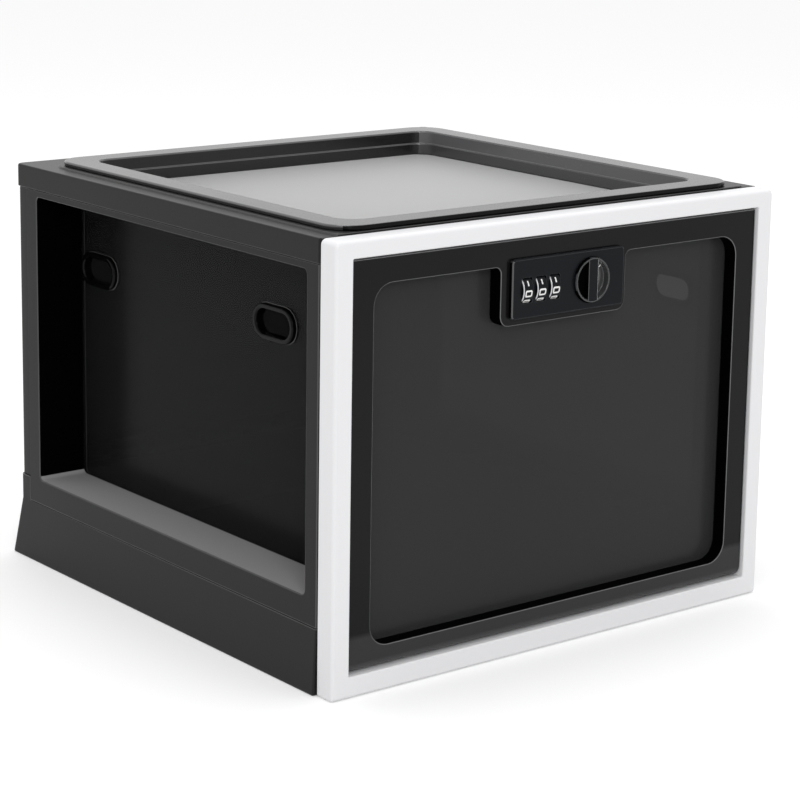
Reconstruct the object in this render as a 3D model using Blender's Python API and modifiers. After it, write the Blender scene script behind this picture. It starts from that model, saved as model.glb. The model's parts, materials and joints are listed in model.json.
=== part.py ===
"""Combination lock box.

A moulded cabinet with recessed smoked windows, a white bezel, a drop-down
front door with a three-dial combination lock and a turn knob, and a lid with
a raised stacking rim. Metres, +Z is up, the front faces -Y, and the origin is
under the middle of the whole object. A depth is measured from the front face
of the bezel towards the back.
"""

import math

import bmesh
import bpy
from mathutils import Matrix, Vector

# Cabinet as a whole
cabinet_width = 0.330
body_depth = 0.337
body_height = 0.255

# Fits and working allowances
seam_gap = 0.0003
weld_distance = 0.000001
smooth_limit = math.radians(35)
cut_overrun = 0.002
join_overlap = 0.0006

# Front bezel
bezel_depth = 0.0137
bezel_side = 0.01175
bezel_bottom = 0.0123
bezel_top = 0.0103
bezel_top_radius = 0.0032
bezel_bottom_radius = 0.0014
bezel_edge_radius = 0.0022
bezel_opening_radius = 0.0006
bezel_opening_chamfer = 0.0006
bezel_lip_inset = 0.0020
bezel_lip_depth = 0.0010
pin_seat_depth = 0.0060

# Base tray
base_height = 0.038
base_back_height = 0.054
base_flare_side = 0.0020
base_flare_back = 0.0090
base_wall = 0.0030
base_shelf = 0.0030
base_floor = 0.0030
base_front_lip = 0.0200
panel_seat = 0.0015
base_back_radius = 0.0050
base_front_radius = 0.0010
base_rib_height = 0.0020
base_rib_thickness = 0.0020
base_rib_pitch = 0.0600
base_rib_margin = 0.0300
base_rib_count = 4
stack_recess = 0.0045
stack_clearance = 0.0015
stack_foot_rise = 0.0005
skirt_rib_pitch = 0.0850
skirt_rib_count = 4

# Window frames, shared by the sides and the back
frame_face = 0.0030
frame_outer_wall = 0.0025
window_wall = 0.0035
window_radius = 0.0035
frame_rib_pitch = 0.0360
frame_rib_thickness = 0.0016
pane_overlap = 0.0018

# Side frames
side_recess = 0.0330
side_pane_thickness = 0.0025
side_front_stile = 0.0110
side_back_stile = 0.0122
side_bottom_rail = 0.0162
side_top_rail = 0.0040

# Ports in the side panes
port_length = 0.0400
port_height = 0.0212
port_lip_width = 0.0034
port_lip_rise = 0.0030
port_lip_inside = 0.0006
port_lip_edge = 0.0008
port_below_band = 0.0510
port_from_back_stile = 0.0223
port_from_front_stile = 0.0742

# Back frame
back_frame_depth = 0.0130
back_frame_setback = 0.0007
back_pane_thickness = 0.0025
back_stile = 0.0260
back_bottom_rail = 0.0160
back_top_rail = 0.0045
back_corner_radius = 0.0050

# Top frame
top_band = 0.0140
top_plate = 0.0030
top_wall = 0.0030
top_collar = 0.0025
top_back_radius = 0.0050
top_front_radius = 0.0010
top_edge_radius = 0.0012
top_rib_pitch = 0.0450
top_rib_thickness = 0.0016
plinth_margin = 0.0035
plinth_height = 0.0010
keeper_thickness = 0.0024

# Lid rim and tray
rim_side_inset = 0.0150
rim_front = 0.0162
rim_back_inset = 0.0218
rim_rise = 0.0040
rim_flange = 0.0175
rim_corner_radius = 0.0180
rim_edge = 0.0006
tray_corner_radius = 0.0120
tray_depth = 0.0160
tray_step_down = 0.0085
tray_step_in = 0.0015
tray_wall = 0.0025
lid_pane_thickness = 0.0016
lid_pane_overlap = 0.0013

# Door
door_front = 0.0025
door_thickness = 0.0120
door_gap_side = 0.0007
door_gap_bottom = 0.0005
door_gap_top = 0.0008
door_border_side = 0.0152
door_border_bottom = 0.0125
door_border_top = 0.0149
door_corner_radius = 0.0020
door_top_radius = 0.0012
door_edge = 0.0005
door_window_radius = 0.0125
door_pane_thickness = 0.0018
door_pane_overlap = 0.0030
door_lug_width = 0.0080
door_lug_depth = 0.0040
door_lug_rise = 0.0004
door_lug_places = (-0.1240, -0.0095, 0.1050)
pin_radius = 0.0025
pin_in_door = 0.0077

# Tab of the door that carries the lock
tab_width = 0.0947
tab_offset = -0.0011
tab_drop = 0.0345
tab_radius = 0.0060
tab_root_radius = 0.0040

# Lock faceplate
lock_below_door_top = 0.0294
plate_width = 0.0850
plate_height = 0.0345
plate_rise = 0.0010
plate_thickness = 0.0027
plate_radius = 0.0025
plate_edge = 0.0007
plate_window_wall = 0.0012
lock_screw_reach = 0.0400

# Number dials and code sleeves
dial_count = 3
dial_pitch = 0.0103
last_dial_from_centre = 0.0111
dial_radius = 0.0095
dial_chamfer = 0.0005
dial_width = 0.0074
dial_proud = 0.0019
dial_bore = 0.0048
dial_slot_width = 0.0080
dial_slot_height = 0.0146
dial_slot_radius = 0.0010
dial_pocket_height = 0.0172
sleeve_radius = 0.0045
sleeve_flange_radius = 0.0060
sleeve_flange_gap = 0.0003
sleeve_flange_thickness = 0.0016
sleeve_gate_width = 0.0036
sleeve_gate_depth = 0.0012
axle_radius = 0.0020

# Lock case
case_half_height = 0.0137
case_wall = 0.0012
case_back_wall = 0.0016
case_cavity_depth = 0.0186
case_bulkhead = 0.0015
case_flange = 0.0016
cutout_radius = 0.0015
sleeve_spring_length = 0.0034
sleeve_spring_wire = 0.0005
sleeve_spring_radius = 0.0033
sleeve_spring_turns = 3

# Locking bar and detent spring
bar_height = 0.0022
bar_thickness = 0.0030
bar_finger_gap = 0.0004
bar_right_end = 0.0105
detent_strip = 0.0003
detent_finger_width = 0.0050
detent_half_height = 0.0050

# Knob, spindle and cam
knob_offset = 0.0167
knob_rise = 0.0010
knob_radius = 0.0132
knob_proud = 0.0022
knob_edge = 0.0006
knob_rim = 0.0014
knob_floor = 0.0011
knob_grip_width = 0.0070
knob_grip_draft = 0.0005
knob_hub_radius = 0.0060
knob_hub_end = 0.0080
knob_socket_depth = 0.0060
spindle_radius = 0.0040
spindle_square = 0.0056
spindle_thread_radius = 0.0024
cam_clearance = 0.0007
cam_thickness = 0.0020
cam_width = 0.0120
cam_reach = 0.0350
cam_heel = 0.0075
cam_corner_radius = 0.0050
washer_radius = 0.0050
washer_thickness = 0.0008
nut_radius = 0.0046
nut_thickness = 0.0030
thread_past_nut = 0.0009

# Lock screws
screw_shank_radius = 0.0015
screw_head_radius = 0.0024
screw_head_height = 0.0016
screw_slot_width = 0.0008
screw_slot_depth = 0.0007
screw_in_plate = 0.0013

# Counts for round shapes
corner_steps = 4
large_corner_steps = 8
large_corner_radius = 0.0108
round_steps = 32
small_round_steps = 20
dial_steps = 40
bead_steps = 12
wire_steps_per_turn = 10

# Places that follow from the sizes above
half_width = cabinet_width / 2
frame_front = bezel_depth + bezel_lip_depth + seam_gap
frame_back = body_depth - back_frame_depth - seam_gap
side_frame_depth = side_recess + side_pane_thickness
chamber_half_width = half_width - side_frame_depth
rim_width = cabinet_width - 2 * rim_side_inset
rim_depth = body_depth - rim_front - rim_back_inset
band_level = body_height - top_band
port_level = band_level - port_below_band
rim_level = body_height + rim_rise
tray_level = rim_level - tray_depth
plinth_level = body_height + plinth_height
base_floor_rise = stack_recess + base_rib_height
door_axis_depth = door_front + door_thickness / 2
door_bottom = bezel_bottom + door_gap_bottom
door_axis_level = door_bottom + door_thickness / 2
door_top = body_height - bezel_top - door_gap_top
lock_level = door_top - lock_below_door_top
knob_level = lock_level + knob_rise
door_half_width = half_width - bezel_side - door_gap_side
door_back = door_front + door_thickness
plate_back = door_front - seam_gap
plate_front = plate_back - plate_thickness
dial_depth = plate_front + dial_radius - dial_proud
case_front = door_front
case_back = case_cavity_depth + case_back_wall
case_flange_front = door_back + seam_gap
case_flange_back = case_flange_front + case_flange
sleeve_flange_left = dial_width / 2 + sleeve_flange_gap
sleeve_right = sleeve_flange_left + sleeve_flange_thickness
sleeve_left = dial_pitch - sleeve_right - seam_gap
first_dial = -(last_dial_from_centre + dial_pitch * (dial_count - 1))
case_left = first_dial - sleeve_left - seam_gap
case_half_width = case_wall - case_left
cutout_half_width = case_half_width + seam_gap
cutout_half_height = case_half_height + seam_gap
spring_left = -last_dial_from_centre + sleeve_right + seam_gap
bulkhead_left = spring_left + sleeve_spring_length + seam_gap
bulkhead_right = bulkhead_left + case_bulkhead
knob_back = plate_back
knob_front = plate_front - knob_proud
cam_front = case_back + cam_clearance
cam_back = cam_front + cam_thickness
washer_front = cam_back + seam_gap
washer_back = washer_front + washer_thickness
nut_front = washer_back + seam_gap
nut_back = nut_front + nut_thickness
front_plane = -(body_depth + base_flare_back + knob_front) / 2


def clear_scene():
    """Start from a scene with no objects."""
    for old in list(bpy.data.objects):
        bpy.data.objects.remove(old, do_unlink=True)


def new_collection(name):
    """A collection in the scene."""
    collection = bpy.data.collections.new(name)
    bpy.context.scene.collection.children.link(collection)
    return collection


def behind(depth):
    """World Y of a depth behind the front face of the bezel."""
    return front_plane + depth


def finish_mesh(form, mesh):
    """Shade the round surfaces smooth, keep the real edges sharp, and fill the mesh."""
    for face in form.faces:
        face.smooth = True
    for edge in form.edges:
        edge.smooth = edge.calc_face_angle(0) < smooth_limit
    form.to_mesh(mesh)
    form.free()


def new_piece(name, mesh):
    """An object in the collection of parts."""
    piece = bpy.data.objects.new(name, mesh)
    parts.objects.link(piece)
    return piece


def tool(piece, target):
    """Turn a piece into a hidden cutter that stays with its target."""
    parts.objects.unlink(piece)
    cutters.objects.link(piece)
    piece.hide_render = True
    piece.display_type = "WIRE"
    piece.parent = target
    return piece


def combine(target, piece, operation):
    """Boolean of a target with another piece, which becomes its tool."""
    modifier = target.modifiers.new(piece.name, "BOOLEAN")
    modifier.operation = operation
    modifier.solver = "EXACT"
    modifier.object = tool(piece, target)
    return target


def subtract(target, *pieces):
    """Cut the pieces out of the target."""
    for piece in pieces:
        combine(target, piece, "DIFFERENCE")
    return target


def unite(target, *pieces):
    """Join the pieces to the target."""
    for piece in pieces:
        combine(target, piece, "UNION")
    return target


def rounded_outline(corners, radii):
    """Closed outline through the corners, each rounded by its own radius."""
    points = []
    for index, radius in enumerate(radii):
        steps = large_corner_steps if radius > large_corner_radius else corner_steps
        here = Vector(corners[index])
        to_last = (Vector(corners[index - 1]) - here).normalized()
        to_next = (Vector(corners[(index + 1) % len(corners)]) - here).normalized()
        half_angle = to_last.angle(to_next) / 2
        reach = radius / math.tan(half_angle)
        centre = here + (to_last + to_next).normalized() * (radius / math.sin(half_angle))
        start = here + to_last * reach - centre
        end = here + to_next * reach - centre
        for step in range(steps + 1):
            points.append(centre + radius * start.slerp(end, step / steps))
    return points


def rectangle(left, right, low, high, low_radius, high_radius):
    """Rounded rectangle with one radius for its low side and one for its high side."""
    corners = [(left, low), (right, low), (right, high), (left, high)]
    return rounded_outline(corners, [low_radius, low_radius, high_radius, high_radius])


def circle(radius, steps, centre=(0, 0)):
    """Round outline."""
    turns = [2 * math.pi * step / steps for step in range(steps)]
    return [Vector((centre[0] + radius * math.cos(turn), centre[1] + radius * math.sin(turn)))
            for turn in turns]


def slab(name, loops, low, high):
    """Flat outline with its holes, thick from one level to another."""
    curve = bpy.data.curves.new(name, "CURVE")
    curve.dimensions = "2D"
    curve.fill_mode = "BOTH"
    curve.extrude = (high - low) / 2
    for loop in loops:
        spline = curve.splines.new("POLY")
        spline.points.add(len(loop) - 1)
        for point, place in zip(spline.points, loop):
            point.co = (place[0], place[1], 0, 1)
        spline.use_cyclic_u = True
    guide = bpy.data.objects.new(name, curve)
    bpy.context.scene.collection.objects.link(guide)
    evaluated = guide.evaluated_get(bpy.context.evaluated_depsgraph_get())
    mesh = bpy.data.meshes.new_from_object(evaluated)
    bpy.data.objects.remove(guide)
    form = bmesh.new()
    form.from_mesh(mesh)
    bmesh.ops.remove_doubles(form, verts=form.verts, dist=weld_distance)
    bmesh.ops.translate(form, verts=form.verts, vec=(0, 0, (high + low) / 2))
    bmesh.ops.recalc_face_normals(form, faces=form.faces)
    finish_mesh(form, mesh)
    return new_piece(name, mesh)


def panel_slab(name, loops, front, back):
    """Slab of an upright panel, between two depths behind its datum."""
    return slab(name, loops, -back, -front)


def blocks(name, spans):
    """Separate boxes in one mesh, each from a low corner to a high corner."""
    form = bmesh.new()
    for low, high in spans:
        made = bmesh.ops.create_cube(form, size=1)["verts"]
        size = Vector(high) - Vector(low)
        bmesh.ops.scale(form, verts=made, vec=size)
        bmesh.ops.translate(form, verts=made, vec=(Vector(high) + Vector(low)) / 2)
    mesh = bpy.data.meshes.new(name)
    form.to_mesh(mesh)
    form.free()
    return new_piece(name, mesh)


def panel_block(name, left, right, low, high, front, back):
    """Box of an upright panel, between two depths behind its datum."""
    return blocks(name, [((left, low, -back), (right, high, -front))])


def rod(name, radius, low, high, steps, centre=(0, 0)):
    """Cylinder along local Z."""
    form = bmesh.new()
    made = bmesh.ops.create_cone(form, cap_ends=True, segments=steps, radius1=radius,
                                 radius2=radius, depth=high - low)["verts"]
    bmesh.ops.translate(form, verts=made, vec=(centre[0], centre[1], (high + low) / 2))
    mesh = bpy.data.meshes.new(name)
    finish_mesh(form, mesh)
    return new_piece(name, mesh)


def cross_rod(name, radius, left, right, steps, height, depth):
    """Cylinder along X in the local frame of an upright panel."""
    piece = rod(name, radius, left, right, steps)
    form = bmesh.new()
    form.from_mesh(piece.data)
    bmesh.ops.rotate(form, verts=form.verts, cent=(0, 0, 0),
                     matrix=Matrix.Rotation(math.pi / 2, 3, "Y"))
    bmesh.ops.translate(form, verts=form.verts, vec=(0, height, -depth))
    finish_mesh(form, piece.data)
    return piece


def loft(name, loops, ring):
    """Skin over outlines of equal count, closed to a ring or capped at both ends."""
    form = bmesh.new()
    rows = [[form.verts.new(point) for point in loop] for loop in loops]
    pairs = list(zip(rows, rows[1:]))
    if ring:
        pairs.append((rows[-1], rows[0]))
    else:
        form.faces.new(rows[0])
        form.faces.new(rows[-1])
    for first, second in pairs:
        for index in range(len(first)):
            after = (index + 1) % len(first)
            form.faces.new((first[index], first[after], second[after], second[index]))
    bmesh.ops.remove_doubles(form, verts=form.verts, dist=weld_distance)
    bmesh.ops.recalc_face_normals(form, faces=form.faces)
    mesh = bpy.data.meshes.new(name)
    finish_mesh(form, mesh)
    return new_piece(name, mesh)


def at_level(outline, level):
    """Flat outline raised to a level."""
    return [(point[0], point[1], level) for point in outline]


def turned(name, profile, closed, steps):
    """Turned shape about local Z from a profile of radius and height, top to bottom."""
    mesh = bpy.data.meshes.new(name)
    form = bmesh.new()
    points = [form.verts.new((radius, 0, height)) for radius, height in profile]
    pairs = list(zip(points, points[1:]))
    if closed:
        pairs.append((points[-1], points[0]))
    for first, second in pairs:
        form.edges.new((first, second))
    form.to_mesh(mesh)
    form.free()
    piece = new_piece(name, mesh)
    screw = piece.modifiers.new("turn", "SCREW")
    screw.axis = "Z"
    screw.steps = steps
    screw.render_steps = steps
    screw.use_merge_vertices = True
    screw.merge_threshold = weld_distance
    screw.use_smooth_shade = True
    return piece


def coil(name, radius, wire, low, high, turns):
    """Compression spring along local Z, wound from a round wire."""
    curve = bpy.data.curves.new(name, "CURVE")
    curve.dimensions = "3D"
    curve.bevel_depth = wire / 2
    curve.bevel_resolution = 1
    curve.use_fill_caps = True
    count = turns * wire_steps_per_turn
    spline = curve.splines.new("POLY")
    spline.points.add(count)
    rise = high - low - wire
    for step, point in enumerate(spline.points):
        turn = 2 * math.pi * step / wire_steps_per_turn
        height = low + wire / 2 + rise * step / count
        point.co = (radius * math.cos(turn), radius * math.sin(turn), height, 1)
    piece = bpy.data.objects.new(name, curve)
    parts.objects.link(piece)
    return piece


def stand(piece, depth, level, turn=0, across=0):
    """Stand a panel upright with its datum at a depth, facing a turn about Z."""
    piece.rotation_euler = (math.pi / 2, 0, turn)
    piece.location = (across, behind(depth), level)
    return piece


def axis_empty(name, across, depth, level, carrier=None):
    """Empty on a joint's axis."""
    empty = bpy.data.objects.new(name, None)
    parts.objects.link(empty)
    place = Vector((across, behind(depth), level))
    empty["place"] = place
    empty.parent = carrier
    empty.location = place - Vector(carrier["place"]) if carrier else place
    return empty


def hang(piece, axis):
    """Carry a standing piece on a joint's axis without moving it."""
    piece.location = piece.location - Vector(axis["place"])
    piece.parent = axis
    return piece


def plastic(name, color, roughness, alpha=1):
    """Moulded plastic."""
    material = bpy.data.materials.new(name)
    material.use_nodes = True
    shader = material.node_tree.nodes["Principled BSDF"]
    shader.inputs["Base Color"].default_value = (*color, 1)
    shader.inputs["Roughness"].default_value = roughness
    shader.inputs["Alpha"].default_value = alpha
    return material


def metal(name, color, roughness):
    """Bare metal."""
    material = plastic(name, color, roughness)
    shader = material.node_tree.nodes["Principled BSDF"]
    shader.inputs["Metallic"].default_value = 1
    return material


def finish(material, *pieces):
    """Give pieces their material."""
    for piece in pieces:
        piece.data.materials.clear()
        piece.data.materials.append(material)


def cabinet_footprint(grow_side, grow_back, front_radius, back_radius):
    """Plan outline of the body behind the bezel."""
    return rectangle(-half_width - grow_side, half_width + grow_side, behind(frame_front),
                     behind(body_depth + grow_back), front_radius, back_radius)


def make_base_tray():
    """Skirted bottom moulding, whose shelves carry the side and back frames."""
    foot = cabinet_footprint(base_flare_side, base_flare_back, base_front_radius, base_back_radius)
    seat = cabinet_footprint(0, 0, base_front_radius, base_back_radius)
    tray = loft("base_tray", [at_level(foot, 0), at_level(seat, base_height),
                              at_level(seat, base_back_height)], ring=False)
    outside = half_width + base_flare_side + cut_overrun
    inner_back = body_depth - back_frame_depth
    above_sides = blocks("base_above_sides", [(
        (-outside, behind(0), base_height),
        (outside, behind(inner_back), base_back_height + cut_overrun))])
    chamber = blocks("base_chamber", [(
        (-chamber_half_width, behind(frame_front + base_wall), base_floor_rise + base_floor),
        (chamber_half_width, behind(inner_back), base_back_height + cut_overrun))])
    doorway = blocks("base_doorway", [(
        (-chamber_half_width, behind(0), base_front_lip),
        (chamber_half_width, behind(frame_front + 2 * base_wall), base_height + cut_overrun))])
    hollow_half = half_width - base_wall
    underside = blocks("base_underside", [(
        (-hollow_half, behind(0), -cut_overrun),
        (hollow_half, behind(body_depth - base_wall), base_floor_rise))])
    panel_room = panel_blocks("base_panel_room", seam_gap, base_floor_rise - cut_overrun,
                              base_floor_rise + base_floor + seam_gap)
    channel_in = chamber_half_width + base_wall
    channel_top = base_height - base_shelf
    channels = blocks("base_channels", [
        ((side * channel_in if side > 0 else -hollow_half,
          behind(frame_front + base_wall), base_floor_rise - cut_overrun),
         (hollow_half if side > 0 else -channel_in, behind(inner_back), channel_top))
        for side in (-1, 1)])
    back_channel = blocks("base_back_channel", [(
        (-hollow_half, behind(inner_back + base_wall), base_floor_rise - cut_overrun),
        (hollow_half, behind(body_depth - base_wall), base_back_height - base_shelf))])
    subtract(tray, above_sides, chamber, doorway, underside, panel_room, channels, back_channel)
    return unite(tray, make_skirt_ribs(channel_in, hollow_half, channel_top))


def panel_blocks(name, grow, low, high):
    """Block over the footprint of the floor panel, grown by a clearance."""
    reach = chamber_half_width + panel_seat + grow
    return blocks(name, [((-reach, behind(frame_front + base_wall - panel_seat - grow), low),
                          (reach, behind(body_depth - back_frame_depth + panel_seat + grow),
                           high))])


def make_floor_panel():
    """Floor of the chamber, which snaps in from below and carries the grid of ribs."""
    panel = panel_blocks("floor_panel", 0, base_floor_rise, base_floor_rise + base_floor)
    return unite(panel, make_base_ribs())


def spread(pitch, count):
    """Places at an even pitch about the middle."""
    return [pitch * (index - (count - 1) / 2) for index in range(count)]


def make_base_ribs():
    """Grid of ribs under the chamber floor."""
    high = base_floor_rise + join_overlap
    reach = chamber_half_width - base_rib_margin
    middle = behind((frame_front + frame_back) / 2)
    half = base_rib_thickness / 2
    low = stack_recess
    places = spread(base_rib_pitch, base_rib_count)
    lengthwise = blocks("panel_ribs", [
        ((place - half, middle - reach, low), (place + half, middle + reach, high))
        for place in places])
    crosswise = blocks("panel_cross_ribs", [
        ((-reach, middle + place - half, low), (reach, middle + place + half, high))
        for place in places])
    return unite(lengthwise, crosswise)


def make_skirt_ribs(channel_in, hollow_half, channel_top):
    """Gussets in the skirt, whose feet stand round the rim of a box below."""
    half = base_rib_thickness / 2
    middle = behind((frame_front + frame_back) / 2)
    top = channel_top + join_overlap
    low = stack_recess - join_overlap
    rim_side = rim_width / 2 + stack_clearance
    rim_back = behind(rim_front + rim_depth + stack_clearance)
    wall = hollow_half + join_overlap
    back_wall = behind(body_depth - base_wall + join_overlap)
    back_top = base_back_height - base_shelf + join_overlap
    back_channel = behind(body_depth - back_frame_depth + base_wall - join_overlap)
    side_room = frame_back - frame_front - base_wall - base_rib_thickness
    gussets = []
    feet = []
    for place in spread(skirt_rib_pitch, 1 + int(side_room / skirt_rib_pitch)):
        front, back = middle + place - half, middle + place + half
        gussets.append(((channel_in - join_overlap, front, low), (wall, back, top)))
        gussets.append(((-wall, front, low), (join_overlap - channel_in, back, top)))
        feet.append(((rim_side, front, stack_foot_rise), (wall, back, stack_recess)))
        feet.append(((-wall, front, stack_foot_rise), (-rim_side, back, stack_recess)))
    for place in spread(skirt_rib_pitch, skirt_rib_count):
        left, right = place - half, place + half
        gussets.append(((left, back_channel, low), (right, back_wall, back_top)))
        feet.append(((left, rim_back, stack_foot_rise),
                     (right, back_wall, base_floor_rise - seam_gap)))
    return unite(blocks("skirt_ribs", gussets), blocks("skirt_rib_feet", feet))


def rib_pockets(low, high, fixed_low, fixed_high, upright, depth, clear):
    """Pockets along one member of a frame, parted by ribs at an even pitch."""
    count = max(1, round((high - low) / frame_rib_pitch))
    length = (high - low + frame_rib_thickness) / count
    spans = []
    for index in range(count):
        start = low + index * length
        end = start + length - frame_rib_thickness
        if upright:
            spans.append(((fixed_low, start, -depth - clear), (fixed_high, end, -frame_face)))
        else:
            spans.append(((start, fixed_low, -depth - clear), (end, fixed_high, -frame_face)))
    return spans


def frame_pockets(name, window, outside, depth):
    """Ribbed hollows between a window's sleeve and the outer walls of its frame."""
    left, right, low, high = window
    far_left, far_right, far_low, far_high = outside
    bottom = (far_low + frame_outer_wall, low - window_wall)
    uprights = (far_low + frame_outer_wall, high)
    spans = rib_pockets(left, right, *bottom, False, depth, cut_overrun)
    spans += rib_pockets(*uprights, far_left + frame_outer_wall, left - window_wall, True,
                         depth, cut_overrun)
    spans += rib_pockets(*uprights, right + window_wall, far_right - frame_outer_wall, True,
                         depth, cut_overrun)
    return blocks(name, spans)


def window_cutters(name, window, depth, thickness):
    """Cutters for a window: the opening and the rebate for its pane."""
    opening = panel_slab(name + "_opening", [rectangle(*window, window_radius, window_radius)],
                         -cut_overrun, depth + cut_overrun)
    rebate = panel_slab(name + "_rebate", [pane_outline(window, pane_overlap)],
                        depth - thickness - seam_gap, depth + cut_overrun)
    return opening, rebate


def pane_outline(window, overlap):
    """Outline of a pane that reaches past its window all round."""
    left, right, low, high = window
    radius = window_radius + overlap
    return rectangle(left - overlap, right + overlap, low - overlap, high + overlap, radius, radius)


def side_outline():
    """Outer edges of a side frame about its own middle: left, right, low, high."""
    half_length = (frame_back - frame_front) / 2
    half_height = (band_level - base_height) / 2 - seam_gap
    return -half_length, half_length, -half_height, half_height


def side_window():
    """Window of a side frame, with the front stile on the left hand side."""
    left, right, low, high = side_outline()
    return (left + side_back_stile, right - side_front_stile,
            low + side_bottom_rail, high - side_top_rail)


def place_side(piece, turn):
    """Stand a side piece on its shelf, facing out to the left or the right."""
    side = 1 if turn > 0 else -1
    middle = (frame_front + frame_back) / 2
    return stand(piece, middle, (base_height + band_level) / 2, turn, side * half_width)


def make_side_frame(name, turn):
    """Deep window frame of one side, ribbed on its inner face."""
    outline = side_outline()
    frame = panel_slab(name, [rectangle(*outline, weld_distance, weld_distance)],
                       0, side_frame_depth)
    opening, rebate = window_cutters(name, side_window(), side_frame_depth, side_pane_thickness)
    pockets = frame_pockets(name + "_pockets", side_window(), outline, side_frame_depth)
    subtract(frame, opening, rebate, pockets)
    return place_side(frame, turn)


def port_centres():
    """Middles of the two ports of a side pane."""
    left, right, low, high = side_window()
    level = port_level - (base_height + band_level) / 2
    return [(left + port_from_back_stile, level), (right - port_from_front_stile, level)]


def stadium(centre, length, height):
    """Outline with two round ends."""
    across, up = centre
    radius = height / 2 - weld_distance
    return rectangle(across - length / 2, across + length / 2, up - height / 2,
                     up + height / 2, radius, radius)


def make_port_lip(name, centre):
    """Raised lip round one port."""
    face = side_recess - port_lip_rise
    inside = side_frame_depth + port_lip_inside
    sizes = [(0, inside), (0, face + port_lip_edge), (port_lip_edge, face),
             (port_lip_width - port_lip_edge, face), (port_lip_width, face + port_lip_edge),
             (port_lip_width, inside)]
    loops = [at_level(stadium(centre, port_length - 2 * inset, port_height - 2 * inset), -depth)
             for inset, depth in sizes]
    return loft(name, loops, ring=True)


def make_side_pane(name, turn):
    """Smoked pane with two lipped ports, seated in a side frame."""
    inset = port_lip_width / 2
    holes = [stadium(centre, port_length - 2 * inset, port_height - 2 * inset)
             for centre in port_centres()]
    edge = pane_overlap - seam_gap
    pane = panel_slab(name, [pane_outline(side_window(), edge)] + holes,
                      side_recess, side_frame_depth)
    for index, centre in enumerate(port_centres()):
        unite(pane, make_port_lip(name + "_lip_" + str(index + 1), centre))
    return place_side(pane, turn)


def back_outline():
    """Outer edges of the back frame about its own middle: left, right, low, high."""
    half_height = (band_level - base_back_height) / 2 - seam_gap
    reach = half_width - back_frame_setback
    return -reach, reach, -half_height, half_height


def back_window():
    """Window of the back frame."""
    left, right, low, high = back_outline()
    return left + back_stile, right - back_stile, low + back_bottom_rail, high - back_top_rail


def place_back(piece):
    """Stand a back piece on the raised part of the base, facing backwards."""
    level = (base_back_height + band_level) / 2
    return stand(piece, body_depth - back_frame_setback, level, math.pi)


def make_back_frame():
    """Back window frame, whose stiles wrap round onto the sides."""
    left, right, low, high = back_outline()
    depth = back_frame_depth - back_frame_setback
    turns = [math.pi / 2 * step / corner_steps for step in range(corner_steps + 1)]
    sections = [(0, depth)] + [(back_corner_radius * (1 - math.cos(turn)),
                                back_corner_radius * (1 - math.sin(turn))) for turn in turns]
    loops = []
    for inset, back in sections:
        loops.append(at_level([(left + inset, low), (right - inset, low),
                               (right - inset, high), (left + inset, high)], -back))
    frame = loft("back_frame", loops, ring=False)
    opening, rebate = window_cutters("back", back_window(), depth, back_pane_thickness)
    pockets = frame_pockets("back_pockets", back_window(), back_outline(), depth)
    subtract(frame, opening, rebate, pockets)
    return place_back(frame)


def make_back_pane():
    """Smoked pane of the back."""
    depth = back_frame_depth - back_frame_setback
    outline = pane_outline(back_window(), pane_overlap - seam_gap)
    return place_back(panel_slab("back_pane", [outline], depth - back_pane_thickness, depth))


def rim_outline(inset, radius):
    """Plan outline of the lid's rim, drawn in by an inset."""
    reach = rim_width / 2 - inset
    return rectangle(-reach, reach, behind(rim_front + inset),
                     behind(rim_front + rim_depth - inset), radius, radius)


def make_top_frame():
    """Top band with a collar for the lid and a keeper behind its front rail."""
    loops = [at_level(cabinet_footprint(0, 0, top_front_radius, top_back_radius), band_level)]
    for step in range(corner_steps + 1):
        turn = math.pi / 2 * step / corner_steps
        inset = top_edge_radius * (1 - math.cos(turn))
        level = body_height - top_edge_radius * (1 - math.sin(turn))
        outline = rectangle(-half_width + inset, half_width - inset, behind(frame_front),
                            behind(body_depth - inset), top_front_radius, top_back_radius - inset)
        loops.append(at_level(outline, level))
    frame = loft("top_frame", loops, ring=False)
    unite(frame, make_plinth())
    collar_inset = rim_flange - tray_wall - seam_gap
    opening = slab("top_opening", [rim_outline(collar_inset, tray_corner_radius + tray_wall)],
                   band_level - cut_overrun, plinth_level + cut_overrun)
    outer = rectangle(-half_width + top_wall, half_width - top_wall, behind(frame_front + top_wall),
                      behind(body_depth - top_wall), weld_distance, weld_distance)
    collar = rim_outline(collar_inset - top_collar, tray_corner_radius + tray_wall + top_collar)
    channel = slab("top_channel", [outer, collar], band_level - cut_overrun,
                   body_height - top_plate)
    subtract(frame, channel, opening)
    return unite(frame, make_top_ribs(collar_inset - top_collar), make_keeper())


def make_plinth():
    """Low step under the lid's rim, cut off flush at the front of the top frame."""
    reach = rim_width / 2 + plinth_margin
    radius = rim_corner_radius + plinth_margin
    outline = rectangle(-reach, reach, behind(frame_front),
                        behind(rim_front + rim_depth + plinth_margin), top_front_radius, radius)
    return slab("top_plinth", [outline], body_height - join_overlap, plinth_level)


def make_top_ribs(collar_inset):
    """Ribs under the sides and the back of the top frame."""
    low = band_level + top_plate
    high = body_height - top_plate + join_overlap
    half = top_rib_thickness / 2
    inner = rim_width / 2 - collar_inset - join_overlap
    outer = half_width - top_wall + join_overlap
    middle = behind(rim_front + rim_depth / 2)
    spans = []
    for place in spread(top_rib_pitch, int(rim_depth / top_rib_pitch)):
        spans.append(((-outer, middle + place - half, low), (-inner, middle + place + half, high)))
        spans.append(((inner, middle + place - half, low), (outer, middle + place + half, high)))
        spans.append(((place - half, behind(rim_front + rim_depth - collar_inset - join_overlap),
                       low), (place + half, behind(body_depth - top_wall + join_overlap), high)))
    return blocks("top_ribs", spans)


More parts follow.
